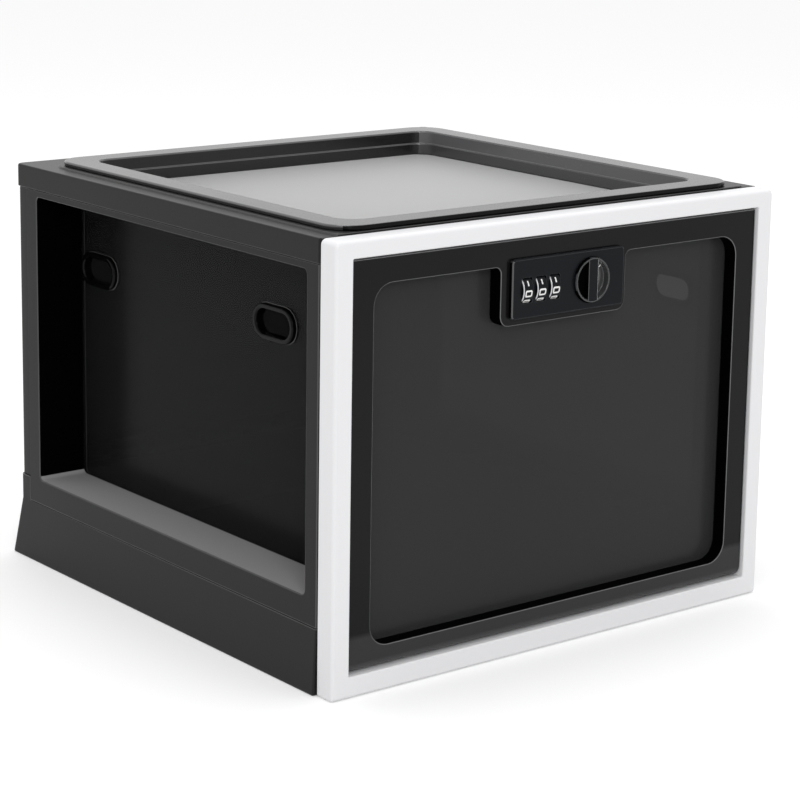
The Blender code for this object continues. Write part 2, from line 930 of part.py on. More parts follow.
def make_keeper():
    """Pad behind the front rail that the cam swings up against."""
    reach = cam_width / 2 + seam_gap
    start = frame_front + top_wall
    return blocks("top_keeper", [(
        (knob_offset - reach, behind(start - join_overlap), band_level + top_plate / 2),
        (knob_offset + reach, behind(start + keeper_thickness), body_height - top_plate
         + join_overlap))])


def make_lid_rim():
    """Stacking rim with the two-step wall of the tray below it."""
    floor_edge = rim_flange + tray_step_in
    wall_outside = rim_flange - tray_wall
    groove = floor_edge - lid_pane_overlap
    underside = plinth_level + seam_gap
    pane_seat = tray_level + seam_gap
    foot = tray_level - lid_pane_thickness - seam_gap
    step = rim_level - tray_step_down
    outer = rim_corner_radius
    inner = tray_corner_radius
    section = [(0, underside, outer), (0, rim_level - rim_edge, outer),
               (rim_edge, rim_level, outer - rim_edge), (rim_flange - rim_edge, rim_level, inner),
               (rim_flange, rim_level - rim_edge, inner), (rim_flange, step, inner),
               (floor_edge, step, inner), (floor_edge, pane_seat, inner),
               (groove, pane_seat, inner), (groove, foot, inner),
               (wall_outside, foot, inner + tray_wall),
               (wall_outside, underside, inner + tray_wall)]
    loops = [at_level(rim_outline(inset, radius), level) for inset, level, radius in section]
    return loft("lid_rim", loops, ring=True)


def make_lid_pane():
    """Smoked floor of the lid's tray."""
    inset = rim_flange + tray_step_in - lid_pane_overlap + seam_gap
    outline = rim_outline(inset, tray_corner_radius)
    return slab("lid_pane", [outline], tray_level - lid_pane_thickness, tray_level)


def bezel_outline(inset):
    """Outline of the bezel about the floor line, drawn in by an inset."""
    return rectangle(-half_width + inset, half_width - inset, inset, body_height - inset,
                     bezel_bottom_radius, bezel_top_radius)


def bezel_opening(grow):
    """Opening of the bezel, grown by a chamfer."""
    reach = half_width - bezel_side + grow
    radius = bezel_opening_radius + grow
    return rectangle(-reach, reach, bezel_bottom - grow, body_height - bezel_top + grow,
                     radius, radius)


def make_front_bezel():
    """White frame round the door, with a lip that leaves a shadow gap behind it."""
    loops = []
    for step in range(corner_steps + 1):
        turn = math.pi / 2 * step / corner_steps
        inset = bezel_edge_radius * (1 - math.sin(turn))
        depth = bezel_edge_radius * (1 - math.cos(turn))
        loops.append(at_level(bezel_outline(inset), -depth))
    loops.append(at_level(bezel_outline(0), -bezel_depth))
    loops.append(at_level(bezel_outline(bezel_lip_inset), -bezel_depth))
    lip_back = bezel_depth + bezel_lip_depth
    loops.append(at_level(bezel_outline(bezel_lip_inset), -lip_back))
    loops.append(at_level(bezel_opening(0), -lip_back))
    loops.append(at_level(bezel_opening(0), -bezel_opening_chamfer))
    loops.append(at_level(bezel_opening(bezel_opening_chamfer), 0))
    bezel = loft("front_bezel", loops, ring=True)
    seat = half_width - bezel_side
    for side, name in ((-1, "left"), (1, "right")):
        ends = sorted((side * (seat - cut_overrun), side * (seat + pin_seat_depth + seam_gap)))
        subtract(bezel, cross_rod("bezel_" + name + "_bore", pin_radius + seam_gap, *ends,
                                  small_round_steps, door_axis_level, door_axis_depth))
    return stand(bezel, 0, 0)


def make_hinge_pin(name, side):
    """Pin from the bezel into a lower corner of the door."""
    seat = half_width - bezel_side
    ends = sorted((side * (door_half_width - pin_in_door), side * (seat + pin_seat_depth)))
    pin = cross_rod(name, pin_radius, *ends, small_round_steps, 0, 0)
    return stand(pin, door_axis_depth, door_axis_level)


def door_window(grow):
    """Window of the door, which goes round the tab that carries the lock."""
    reach = door_half_width - door_border_side + grow
    low = door_bottom + door_border_bottom - grow
    high = door_top - door_border_top + grow
    left = tab_offset - tab_width / 2 + grow
    right = tab_offset + tab_width / 2 - grow
    tab_low = door_top - door_border_top - tab_drop + grow
    corners = [(-reach, low), (reach, low), (reach, high), (right, high), (right, tab_low),
               (left, tab_low), (left, high), (-reach, high)]
    outside = door_window_radius + grow
    root = tab_root_radius + grow
    nose = tab_radius - grow
    return rounded_outline(corners, [outside, outside, outside, root, nose, nose, root, outside])


def make_door_frame():
    """Black door panel, with its lower edge rounded about the hinge axis."""
    half = door_thickness / 2
    bead = [(door_axis_level - half * math.cos(turn), door_axis_depth + half * math.sin(turn))
            for turn in [math.pi * (step / bead_steps - 1 / 2) for step in range(bead_steps + 1)]]
    top = [(door_top - door_edge, door_back), (door_top, door_back - door_edge),
           (door_top, door_front + door_edge), (door_top - door_edge, door_front)]
    profile = [(level, depth) for level, depth in bead + top]
    ends = (-door_half_width, door_half_width)
    loops = [[(across, level, -depth) for level, depth in profile] for across in ends]
    door = loft("door_frame", loops, ring=False)
    outline = rectangle(*ends, door_bottom, door_top, door_corner_radius, door_top_radius)
    combine(door, panel_slab("door_outline", [outline], door_front - cut_overrun,
                             door_back + cut_overrun), "INTERSECT")
    opening = panel_slab("door_opening", [door_window(0)], door_front - cut_overrun,
                         door_back + cut_overrun)
    rebate = panel_slab("door_rebate", [door_window(door_pane_overlap)],
                        door_back - door_pane_thickness - 2 * seam_gap, door_back + cut_overrun)
    subtract(door, opening, rebate, make_door_cutout())
    for side, name in ((-1, "left"), (1, "right")):
        reach = door_half_width - pin_in_door - seam_gap
        ends = sorted((side * reach, side * (door_half_width + cut_overrun)))
        subtract(door, cross_rod("door_" + name + "_bore", pin_radius + seam_gap, *ends,
                                 small_round_steps, door_axis_level, door_axis_depth),
                 screw_hole("door_" + name + "_screw_hole", side, 0, lock_level))
    return stand(unite(door, make_door_lugs()), 0, 0)


def make_door_cutout():
    """Hole in the tab for the lock case."""
    outline = rectangle(-cutout_half_width, cutout_half_width, lock_level - cutout_half_height,
                        lock_level + cutout_half_height, cutout_radius, cutout_radius)
    return panel_slab("door_cutout", [outline], door_front - cut_overrun, door_back + cut_overrun)


def screw_hole(name, side, front, level=0):
    """Clearance hole for a lock screw, from a depth to behind the lock."""
    return rod(name, screw_shank_radius + seam_gap, -case_back, -front, small_round_steps,
               (side * lock_screw_reach, level))


def make_door_lugs():
    """Small lugs on the top edge, which steady the shut door in the bezel."""
    half = door_lug_width / 2
    low = door_top - join_overlap
    front = door_axis_depth - door_lug_depth / 2
    back = door_axis_depth + door_lug_depth / 2
    return blocks("door_lugs", [((place - half, low, -back),
                                 (place + half, door_top + door_lug_rise, -front))
                                for place in door_lug_places])


def make_door_pane():
    """Smoked pane of the door, flush with the back of its frame."""
    outline = door_window(door_pane_overlap - seam_gap)
    back = door_back - seam_gap
    return stand(panel_slab("door_pane", [outline], back - door_pane_thickness, back), 0, 0)


def dial_places():
    """Middles of the dials from left to right."""
    return [first_dial + dial_pitch * index for index in range(dial_count)]


def plate_outline(inset):
    """Outline of the faceplate about the lock's own level."""
    reach = plate_width / 2 - inset
    half = plate_height / 2 - inset
    radius = plate_radius - inset
    return rectangle(-reach, reach, plate_rise - half, plate_rise + half, radius, radius)


def make_faceplate():
    """Raised plate with the dial slots and the hole for the knob."""
    loops = [at_level(plate_outline(0), -plate_back),
             at_level(plate_outline(0), -plate_front - plate_edge),
             at_level(plate_outline(plate_edge), -plate_front)]
    plate = loft("lock_faceplate", loops, ring=False)
    subtract(plate, panel_block("plate_pocket", case_left, spring_left, -dial_pocket_height / 2,
                                dial_pocket_height / 2, plate_front + plate_window_wall,
                                plate_back + cut_overrun))
    slot_half = dial_slot_width / 2
    for index, place in enumerate(dial_places()):
        outline = rectangle(place - slot_half, place + slot_half, -dial_slot_height / 2,
                            dial_slot_height / 2, dial_slot_radius, dial_slot_radius)
        subtract(plate, panel_slab("plate_slot_" + str(index + 1), [outline],
                                   plate_front - cut_overrun, plate_back))
    subtract(plate, rod("plate_knob_hole", knob_radius + seam_gap, -plate_back - cut_overrun,
                        -plate_front + cut_overrun, round_steps, (knob_offset, knob_rise)))
    for side, name in ((-1, "left"), (1, "right")):
        front = plate_back - screw_in_plate - seam_gap
        subtract(plate, screw_hole("plate_" + name + "_screw_hole", side, front))
    return stand(plate, 0, lock_level)


def make_lock_case():
    """Flanged tub behind the faceplate, with a bulkhead that carries the axle."""
    outline = rectangle(-case_half_width, case_half_width, -case_half_height, case_half_height,
                        cutout_radius, cutout_radius)
    case = panel_slab("lock_case", [outline], case_front, case_back)
    unite(case, panel_slab("case_flange", [plate_outline(0)], case_flange_front,
                           case_flange_back))
    inner = case_half_height - case_wall
    front = case_front - cut_overrun
    cavity_right = case_half_width - case_wall
    subtract(case,
             panel_block("case_dial_room", case_left, bulkhead_left, -inner, inner, front,
                         case_cavity_depth),
             panel_block("case_knob_room", bulkhead_right, cavity_right, -inner, inner, front,
                         case_cavity_depth),
             panel_block("case_bar_slot", bulkhead_left - cut_overrun,
                         bulkhead_right + cut_overrun, -inner, -inner + bar_height + 3 * seam_gap,
                         dial_depth - bar_thickness / 2 - seam_gap,
                         dial_depth + bar_thickness / 2 + seam_gap),
             cross_rod("case_axle_bore", axle_radius + seam_gap, -case_half_width - cut_overrun,
                       bulkhead_right + cut_overrun, small_round_steps, 0, dial_depth),
             rod("case_spindle_hole", spindle_radius + seam_gap, -case_back - cut_overrun,
                 -case_cavity_depth + cut_overrun, round_steps, (knob_offset, knob_rise)),
             screw_hole("case_left_screw_hole", -1, door_back),
             screw_hole("case_right_screw_hole", 1, door_back))
    return stand(case, 0, lock_level)


def make_lock_screw(name, side):
    """Slotted screw from the case flange through the tab into the faceplate."""
    seat = -case_flange_back - seam_gap
    tip = screw_in_plate - plate_back
    screw = turned(name, [(0, tip), (screw_shank_radius, tip), (screw_shank_radius, seat),
                          (screw_head_radius, seat), (screw_head_radius, seat - screw_head_height),
                          (0, seat - screw_head_height)], False, small_round_steps)
    reach = screw_head_radius + cut_overrun
    back = -seat + screw_head_height
    subtract(screw, panel_block(name + "_slot", -reach, reach, -screw_slot_width / 2,
                                screw_slot_width / 2, back - screw_slot_depth,
                                back + cut_overrun))
    return stand(screw, 0, lock_level, 0, side * lock_screw_reach)


def make_dial_axle():
    """Axle of the dials, held by the case's left wall and its bulkhead."""
    axle = cross_rod("dial_axle", axle_radius, seam_gap - case_half_width, bulkhead_right,
                     small_round_steps, 0, 0)
    return stand(axle, dial_depth, lock_level)


def make_sleeve_spring():
    """Spring that keeps the code sleeves pressed together."""
    spring = coil("sleeve_spring", sleeve_spring_radius, sleeve_spring_wire, 0,
                  sleeve_spring_length, sleeve_spring_turns)
    spring.rotation_euler = (0, math.pi / 2, 0)
    spring.location = (spring_left, behind(dial_depth), lock_level)
    return spring


def make_locking_bar():
    """Bar under the dials, whose fingers drop into the gates of the sleeves."""
    low = case_wall - case_half_height + seam_gap
    high = low + bar_height
    half = bar_thickness / 2
    left = first_dial - dial_width / 2
    bar = blocks("locking_bar", [((left, low, -half), (bar_right_end, high, half))])
    top = -sleeve_flange_radius - bar_finger_gap
    fingers = blocks("bar_fingers", [
        ((place + sleeve_flange_left, high - join_overlap, -half),
         (place + sleeve_right, top, half)) for place in dial_places()])
    return stand(unite(bar, fingers), dial_depth, lock_level)


def make_detent_spring():
    """Leaf with one sprung finger behind each dial."""
    back = case_cavity_depth - seam_gap
    front = back - detent_strip
    touch = dial_depth + dial_radius + seam_gap
    left = first_dial - detent_finger_width / 2
    right = detent_finger_width / 2 - last_dial_from_centre
    strip = panel_block("detent_spring", left, right, -detent_half_height,
                        -detent_half_height / 2, front, back)
    shape = [(-detent_half_height, front + join_overlap / 4),
             (-detent_half_height / 2, front), (0, touch),
             (detent_half_height / 2, (touch + front) / 2),
             (detent_half_height / 2, (touch + front) / 2 + detent_strip),
             (0, touch + detent_strip), (-detent_half_height / 2, front + detent_strip * 2 / 3)]
    for index, place in enumerate(dial_places()):
        ends = (place - detent_finger_width / 2, place + detent_finger_width / 2)
        loops = [[(across, level, -depth) for level, depth in shape] for across in ends]
        unite(strip, loft("detent_finger_" + str(index + 1), loops, ring=False))
    return stand(strip, 0, lock_level)


def make_number_dial(name, place):
    """Number wheel with bevelled rims, which carries ten printed digits."""
    half = dial_width / 2
    profile = [(dial_bore, half), (dial_radius - dial_chamfer, half),
               (dial_radius, half - dial_chamfer), (dial_radius, dial_chamfer - half),
               (dial_radius - dial_chamfer, -half), (dial_bore, -half)]
    return on_dial_axis(turned(name, profile, True, dial_steps), place)


def make_code_sleeve(name, place):
    """Sleeve inside a dial, with a flange that has the gate for the locking bar."""
    bore = axle_radius + seam_gap
    profile = [(bore, sleeve_right), (sleeve_flange_radius, sleeve_right),
               (sleeve_flange_radius, sleeve_flange_left), (sleeve_radius, sleeve_flange_left),
               (sleeve_radius, -sleeve_left), (bore, -sleeve_left)]
    sleeve = turned(name, profile, True, small_round_steps)
    half = sleeve_gate_width / 2
    reach = sleeve_flange_radius + cut_overrun
    gate = blocks(name + "_gate", [((sleeve_flange_radius - sleeve_gate_depth, -half,
                                     sleeve_flange_left - cut_overrun / 2),
                                    (reach, half, sleeve_right + cut_overrun))])
    return on_dial_axis(subtract(sleeve, gate), place)


def on_dial_axis(piece, place):
    """Lay a piece's own axis along the dials' axle."""
    piece.rotation_euler = (0, math.pi / 2, 0)
    piece.location = (place, behind(dial_depth), lock_level)
    return piece


def make_knob():
    """Turn knob: a cup sunk in the plate, parted by a grip bar, with a hub behind it."""
    profile = [(0, -knob_front), (knob_radius - knob_edge, -knob_front),
               (knob_radius, -knob_front - knob_edge), (knob_radius, -knob_back),
               (knob_hub_radius, -knob_back), (knob_hub_radius, -knob_hub_end),
               (spindle_radius + seam_gap, -knob_hub_end),
               (spindle_radius + seam_gap, knob_socket_depth - knob_hub_end),
               (0, knob_socket_depth - knob_hub_end)]
    knob = turned("knob", profile, False, round_steps)
    floor = knob_back - knob_floor
    top = knob_front - cut_overrun
    for side, name in ((1, "right"), (-1, "left")):
        loops = [at_level(moon_outline(side, knob_grip_draft), -floor),
                 at_level(moon_outline(side, 0), -knob_front),
                 at_level(moon_outline(side, 0), -top)]
        subtract(knob, loft("knob_" + name + "_pocket", loops, ring=False))
    return stand(knob, 0, knob_level, 0, knob_offset)


def moon_outline(side, inset):
    """Outline of a pocket between the knob's rim and its grip bar."""
    radius = knob_radius - knob_rim - inset
    flat = knob_grip_width / 2 + inset
    half_angle = math.acos(flat / radius)
    start = 0 if side > 0 else math.pi
    turns = [start + half_angle * (2 * step / small_round_steps - 1)
             for step in range(small_round_steps + 1)]
    return [Vector((radius * math.cos(turn), radius * math.sin(turn))) for turn in turns]


def make_spindle():
    """Spindle with a square for the cam and a threaded end for the nut."""
    front = knob_socket_depth - knob_hub_end - seam_gap
    shoulder = seam_gap - cam_front
    end = -nut_back - thread_past_nut
    spindle = turned("spindle", [(0, front), (spindle_radius, front),
                                 (spindle_radius, shoulder), (spindle_thread_radius, shoulder),
                                 (spindle_thread_radius, end), (0, end)], False, round_steps)
    half = spindle_square / 2
    unite(spindle, panel_block("spindle_square", -half, half, -half, half,
                               -shoulder - join_overlap, cam_back - seam_gap))
    return stand(spindle, 0, knob_level, 0, knob_offset)


def make_cam():
    """Flat arm that swings up behind the keeper."""
    half = cam_width / 2
    outline = rounded_outline([(-cam_heel, -half), (cam_reach, -half), (cam_reach, half),
                               (-cam_heel, half)], [cam_corner_radius] * 4)
    hole = spindle_square / 2 + seam_gap
    square = [Vector(corner) for corner in ((-hole, -hole), (hole, -hole), (hole, hole),
                                            (-hole, hole))]
    return stand(panel_slab("cam", [outline, square], cam_front, cam_back), 0, knob_level, 0,
                 knob_offset)


def make_cam_washer():
    """Washer between the cam and its nut."""
    loops = [circle(washer_radius, small_round_steps),
             circle(spindle_thread_radius + seam_gap, small_round_steps)]
    return stand(panel_slab("cam_washer", loops, washer_front, washer_back), 0, knob_level, 0,
                 knob_offset)


def make_cam_nut():
    """Hexagon nut that holds the cam."""
    loops = [circle(nut_radius, 6), circle(spindle_thread_radius + seam_gap, small_round_steps)]
    return stand(panel_slab("cam_nut", loops, nut_front, nut_back), 0, knob_level, 0, knob_offset)


def build_cabinet():
    """The fixed pieces."""
    shell = [make_base_tray(), make_floor_panel(),
             make_side_frame("left_side_frame", -math.pi / 2),
             make_side_frame("right_side_frame", math.pi / 2), make_back_frame(),
             make_top_frame()]
    smoked = [make_side_pane("left_side_pane", -math.pi / 2),
              make_side_pane("right_side_pane", math.pi / 2), make_back_pane(),
              make_lid_pane()]
    pins = [make_hinge_pin("left_hinge_pin", -1), make_hinge_pin("right_hinge_pin", 1)]
    finish(shell_black, *shell)
    finish(smoked_clear, *smoked)
    finish(rim_black, make_lid_rim())
    finish(bezel_white, make_front_bezel())
    finish(pin_steel, *pins)


def build_door(hinge):
    """The door with the fixed pieces of its lock."""
    screws = [make_lock_screw("lock_screw_left", -1), make_lock_screw("lock_screw_right", 1)]
    inner = [make_dial_axle(), make_sleeve_spring(), make_locking_bar(), make_detent_spring()]
    frame = make_door_frame()
    pane = make_door_pane()
    faceplate = make_faceplate()
    case = make_lock_case()
    finish(door_black, frame)
    finish(smoked_clear, pane)
    finish(lock_black, faceplate, case)
    finish(lock_steel, *screws, *inner)
    for piece in [frame, pane, faceplate, case, *screws, *inner]:
        hang(piece, hinge)


def build_dials(hinge):
    """The number dials, each with its code sleeve, on their own axes."""
    for index, place in enumerate(dial_places()):
        number = str(index + 1)
        axis = axis_empty("dial_axis_" + number, place, dial_depth, lock_level, hinge)
        dial = make_number_dial("number_dial_" + number, place)
        sleeve = make_code_sleeve("code_sleeve_" + number, place)
        finish(dial_black, dial)
        finish(lock_brass, sleeve)
        hang(dial, axis)
        hang(sleeve, axis)


def build_knob_group(hinge):
    """The knob with all that turns with it."""
    axis = axis_empty("knob_axis", knob_offset, 0, knob_level, hinge)
    knob = make_knob()
    steel = [make_spindle(), make_cam(), make_cam_washer(), make_cam_nut()]
    finish(lock_black, knob)
    finish(lock_steel, *steel)
    for piece in [knob, *steel]:
        hang(piece, axis)


clear_scene()
parts = new_collection("Combination lock box")
cutters = new_collection("Cutters")

shell_black = plastic("shell_black", (0.040, 0.039, 0.040), 0.42)
smoked_clear = plastic("smoked_clear", (0.012, 0.012, 0.013), 0.08, 0.8)
rim_black = plastic("rim_black", (0.030, 0.030, 0.032), 0.25)
bezel_white = plastic("bezel_white", (0.83, 0.83, 0.85), 0.35)
door_black = plastic("door_black", (0.022, 0.022, 0.024), 0.18)
lock_black = plastic("lock_black", (0.014, 0.016, 0.019), 0.22)
dial_black = plastic("dial_black", (0.016, 0.016, 0.018), 0.3)
pin_steel = metal("pin_steel", (0.55, 0.55, 0.56), 0.3)
lock_steel = metal("lock_steel", (0.60, 0.60, 0.62), 0.3)
lock_brass = metal("lock_brass", (0.72, 0.58, 0.30), 0.35)

build_cabinet()
door_hinge = axis_empty("door_hinge_axis", 0, door_axis_depth, door_axis_level)
build_door(door_hinge)
build_dials(door_hinge)
build_knob_group(door_hinge)
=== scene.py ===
# %% [markdown]
# # A lock box with smoked windows
# This lesson dresses a moulded storage cabinet with a drop-down door and a three-dial
# lock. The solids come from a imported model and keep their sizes. Here their edges are
# rounded, every surface gets a finish, the dials get their printed numbers and the knob
# its mark. The cells follow the work of a model maker: camera, studio, finishes, cabinet,
# door, lock.

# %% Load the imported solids
import json
import math
import bpy
from mathutils import Matrix, Vector

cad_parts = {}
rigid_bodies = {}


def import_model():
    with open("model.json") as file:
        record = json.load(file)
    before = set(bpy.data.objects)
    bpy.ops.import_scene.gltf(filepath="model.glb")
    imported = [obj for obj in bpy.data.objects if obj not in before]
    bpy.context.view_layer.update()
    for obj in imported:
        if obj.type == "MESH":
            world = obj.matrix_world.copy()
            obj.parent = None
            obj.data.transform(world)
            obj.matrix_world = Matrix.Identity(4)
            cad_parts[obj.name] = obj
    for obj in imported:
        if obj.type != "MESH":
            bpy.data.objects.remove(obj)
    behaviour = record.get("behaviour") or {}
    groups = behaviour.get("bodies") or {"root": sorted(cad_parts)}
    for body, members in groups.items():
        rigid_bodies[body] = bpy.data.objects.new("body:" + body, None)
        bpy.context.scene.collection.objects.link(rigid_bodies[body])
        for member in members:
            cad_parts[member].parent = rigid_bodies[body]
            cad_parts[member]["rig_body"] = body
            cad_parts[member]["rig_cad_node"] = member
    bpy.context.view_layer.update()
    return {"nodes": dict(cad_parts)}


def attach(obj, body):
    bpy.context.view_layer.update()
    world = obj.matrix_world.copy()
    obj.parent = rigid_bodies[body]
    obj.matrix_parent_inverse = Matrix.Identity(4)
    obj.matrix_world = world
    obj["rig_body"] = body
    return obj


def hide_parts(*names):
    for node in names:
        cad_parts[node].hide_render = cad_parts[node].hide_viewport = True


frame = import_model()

nodes = frame["nodes"]

# %% [markdown]
# ## The camera
# The picture was taken from the front left, a little above the lid, through a long lens.
# A camera can be put there by eye, or be solved from corners whose sizes are known. Here
# the place, the turn and the lens come from twelve corners of the cabinet, because a few
# pixels of error show at once along the straight white front.

# %% Put the camera where the picture was taken
picture_width = 800
lens_in_pixels = 2480.5
shift_in_pixels = -100
camera_spot = (-0.9331, -1.19464, 0.48615)
turned_right = 38.412
tipped_down = 11.549
rolled_left = 0.891

camera_data = bpy.data.cameras.new("studio_camera")
camera_data.sensor_width = 36
camera_data.lens = 36 * lens_in_pixels / picture_width
camera_data.shift_y = shift_in_pixels / picture_width
camera_data.clip_start = 0.05
camera = bpy.data.objects.new("studio_camera", camera_data)
bpy.context.scene.collection.objects.link(camera)
camera_turn = Matrix.Rotation(math.radians(-turned_right), 4, "Z")
camera_tip = Matrix.Rotation(math.radians(90 - tipped_down), 4, "X")
camera_roll = Matrix.Rotation(math.radians(rolled_left), 4, "Z")
camera_place = Matrix.Translation(camera_spot)
camera.matrix_world = camera_place @ camera_turn @ camera_tip @ camera_roll
bpy.context.scene.camera = camera
bpy.context.scene.view_settings.view_transform = "Standard"
print("lens:", round(camera_data.lens, 2), "mm")

# %% [markdown]
# ## The studio
# A black glossy box shows little of its own colour: what is seen on it is the room. The
# room is a pale floor under an even pale surround, with one large soft lamp overhead and
# one at the front left. A painted backdrop would do as well, but its edge would be seen in
# the gloss. So the surround is plain white where the camera or a reflection looks at it,
# and dimmer where it lights the box, so that the white front keeps its tone.

# %% A number that varies over a surface
class Value:
    """A socket's number, with sums written as in Python."""

    def __init__(self, finish, socket):
        self.finish = finish
        self.socket = socket

    def __add__(self, other):
        return self.finish.sum("ADD", self, other)

    def __radd__(self, other):
        return self.finish.sum("ADD", other, self)

    def __sub__(self, other):
        return self.finish.sum("SUBTRACT", self, other)

    def __rsub__(self, other):
        return self.finish.sum("SUBTRACT", other, self)

    def __mul__(self, other):
        return self.finish.sum("MULTIPLY", self, other)

    def __rmul__(self, other):
        return self.finish.sum("MULTIPLY", other, self)

    def clamped(self):
        return self.finish.sum("ADD", self, 0.0, use_clamp=True)


# %% A node tree that is wired by name
class Wiring:
    """One way to add a node: its type, its settings, then the values of its sockets."""

    def __init__(self, tree):
        self.tree = tree
        tree.nodes.clear()

    def node(self, kind, settings=None, sockets=None):
        made = self.tree.nodes.new(kind)
        for name, value in (settings or {}).items():
            setattr(made, name, value)
        for key, value in (sockets or {}).items():
            self.plug(made.inputs[key], value)
        return made

    def plug(self, socket, value):
        if isinstance(value, Value):
            value = value.socket
        if isinstance(value, bpy.types.NodeSocket):
            self.tree.links.new(value, socket)
        else:
            socket.default_value = value

    def value(self, node, output):
        return Value(self, node.outputs[output])

    def sum(self, operation, first, second, **settings):
        settings["operation"] = operation
        made = self.node("ShaderNodeMath", settings, {0: first, 1: second})
        return self.value(made, "Value")

    def mix(self, amount, first, second):
        settings = {"data_type": "RGBA"}
        return self.node("ShaderNodeMix", settings, {0: amount, 6: first, 7: second}).outputs[2]

    def seen(self):
        """One where the camera, a reflection or a look through a pane meets it, else zero."""
        ray = self.node("ShaderNodeLightPath").outputs
        direct = self.sum("MAXIMUM", ray["Is Camera Ray"], ray["Is Glossy Ray"])
        return self.sum("MAXIMUM", direct, ray["Is Transmission Ray"])


# %% Give the surround its two levels
surround_light = 0.80
white = (1, 1, 1, 1)
world = bpy.data.worlds.new("pale_surround")
world.use_nodes = True
bpy.context.scene.world = world
sky = Wiring(world.node_tree)
surround_strength = surround_light + sky.seen() * (1.0 - surround_light)
surround = sky.node(
    "ShaderNodeBackground", {}, {"Color": white, "Strength": surround_strength})
sky.node("ShaderNodeOutputWorld", {}, {"Surface": surround.outputs[0]})
print("surround lights at", surround_light, "and is seen at 1.0")

# %% Lay the pale floor
floor_size = 14
floor_drop = 0.0003
floor_white = 0.80
floor_glow = 0.30
bpy.ops.mesh.primitive_plane_add(size=floor_size, location=(0, 0, -floor_drop))
floor = bpy.context.active_object
floor.name = "studio_floor"
floor_finish = bpy.data.materials.new("pale_floor")
floor_finish.use_nodes = True
ground = Wiring(floor_finish.node_tree)
glow = ground.mix(ground.seen(), (0, 0, 0, 1), (floor_glow, floor_glow, floor_glow, 1))
ground_shader = ground.node("ShaderNodeBsdfPrincipled", {}, {
    "Base Color": (floor_white, floor_white, floor_white, 1), "Roughness": 0.9,
    "Specular IOR Level": 0.0, "Emission Color": glow, "Emission Strength": 1.0})
ground.node("ShaderNodeOutputMaterial", {}, {"Surface": ground_shader.outputs[0]})
floor.data.materials.append(floor_finish)
print("floor:", floor_size, "m square, white", floor_white)

# %% Hang the soft lamps
def soft_lamp(name, place, target, size, power):
    data = bpy.data.lights.new(name, "AREA")
    data.shape = "SQUARE"
    data.size = size
    data.energy = power
    lamp = bpy.data.objects.new(name, data)
    bpy.context.scene.collection.objects.link(lamp)
    aim = (Vector(target) - Vector(place)).to_track_quat("-Z", "Y")
    lamp.matrix_world = Matrix.Translation(place) @ aim.to_matrix().to_4x4()
    print(name, "at", place, "with", power, "W")


soft_lamp("overhead_softbox", place=(0.1, 0.1, 2.2), target=(0, 0, 0.1), size=1.2, power=14.0)
soft_lamp("front_softbox", place=(-1.4, -2.6, 1.5), target=(0, -0.1, 0.1), size=0.7, power=17.0)

# %% [markdown]
# ## Finishes
# Nearly all of the box is moulded plastic. Mouldings differ less in colour than in skin:
# a spark-eroded mould leaves a fine satin grain, a polished one a gloss with faint flow
# waves. A photograph of each skin could be wrapped round the pieces, but it would repeat
# and blur. So each finish starts from one plain shader and adds grain, a slow change of
# roughness, and a paler tint along the edges, which is partly wear from handling and
# partly a painted highlight. All of it reads the piece's own coordinates, so that it
# stays in place when the door or a dial turns.

# %% A surface and its layers
class Finish(Wiring):
    """One surface: a plain shader, then tints, gloss and relief laid over it."""

    def __init__(self, name, colour, roughness, fixed):
        self.material = bpy.data.materials.new(name)
        self.material.use_nodes = True
        super().__init__(self.material.node_tree)
        self.shader = self.node("ShaderNodeBsdfPrincipled", {}, fixed)
        self.node("ShaderNodeOutputMaterial", {}, {"Surface": self.shader.outputs[0]})
        self.place = self.node("ShaderNodeTexCoord").outputs["Object"]
        self.colour = (*colour, 1)
        self.shader.inputs["Base Color"].default_value = self.colour
        self.shader.inputs["Roughness"].default_value = roughness
        self.roughness = roughness
        self.rounding = None

    def noise(self, scale, detail=2.0, stretch=(1, 1, 1)):
        spread = self.node("ShaderNodeMapping", {}, {"Vector": self.place, "Scale": stretch})
        sockets = {"Vector": spread.outputs[0], "Scale": scale, "Detail": detail}
        return self.value(self.node("ShaderNodeTexNoise", {}, sockets), "Fac")

    def edges(self, width, strength):
        """Zero on flat faces and up to one where a rounded edge bends the surface."""
        rounded = self.node("ShaderNodeBevel", {"samples": 6}, {"Radius": width})
        self.rounding = rounded.outputs[0]
        flat = self.node("ShaderNodeNewGeometry").outputs["Normal"]
        settings = {"operation": "DOT_PRODUCT"}
        facing = self.node("ShaderNodeVectorMath", settings, {0: self.rounding, 1: flat})
        return ((1.0 - self.value(facing, "Value")) * strength).clamped()

    def height(self):
        apart = self.node("ShaderNodeSeparateXYZ", {}, {0: self.place})
        return self.value(apart, "Z")

    def tint(self, amount, other):
        self.colour = self.mix(amount, self.colour, (*other, 1))
        self.plug(self.shader.inputs["Base Color"], self.colour)

    def gloss(self, change):
        self.plug(self.shader.inputs["Roughness"], (self.roughness + change).clamped())

    def relief(self, height, depth):
        bump = self.node("ShaderNodeBump", {}, {"Height": height, "Distance": depth})
        if self.rounding:
            self.plug(bump.inputs["Normal"], self.rounding)
        self.plug(self.shader.inputs["Normal"], bump.outputs[0])


# %% [markdown]
# ### Moulded plastic
# A skin is a grain, counted per metre, and the depth of its relief in metres. Each part
# has a plain finish for its faces and a glossier, paler one for its rounded edges: the
# paler colour is a painted highlight, the thin bright lines that make a black box
# readable. One finish for both would need a much stronger lamp. The door is also painted
# paler below a level, in two steps, where its face rolls under: a painted reflection of
# the white floor.

# %% Mix a plastic
flow_scale = 9.0
wear_scale = 60.0
wear_highlight_width = 0.0008
wear_highlight_strength = 3.2


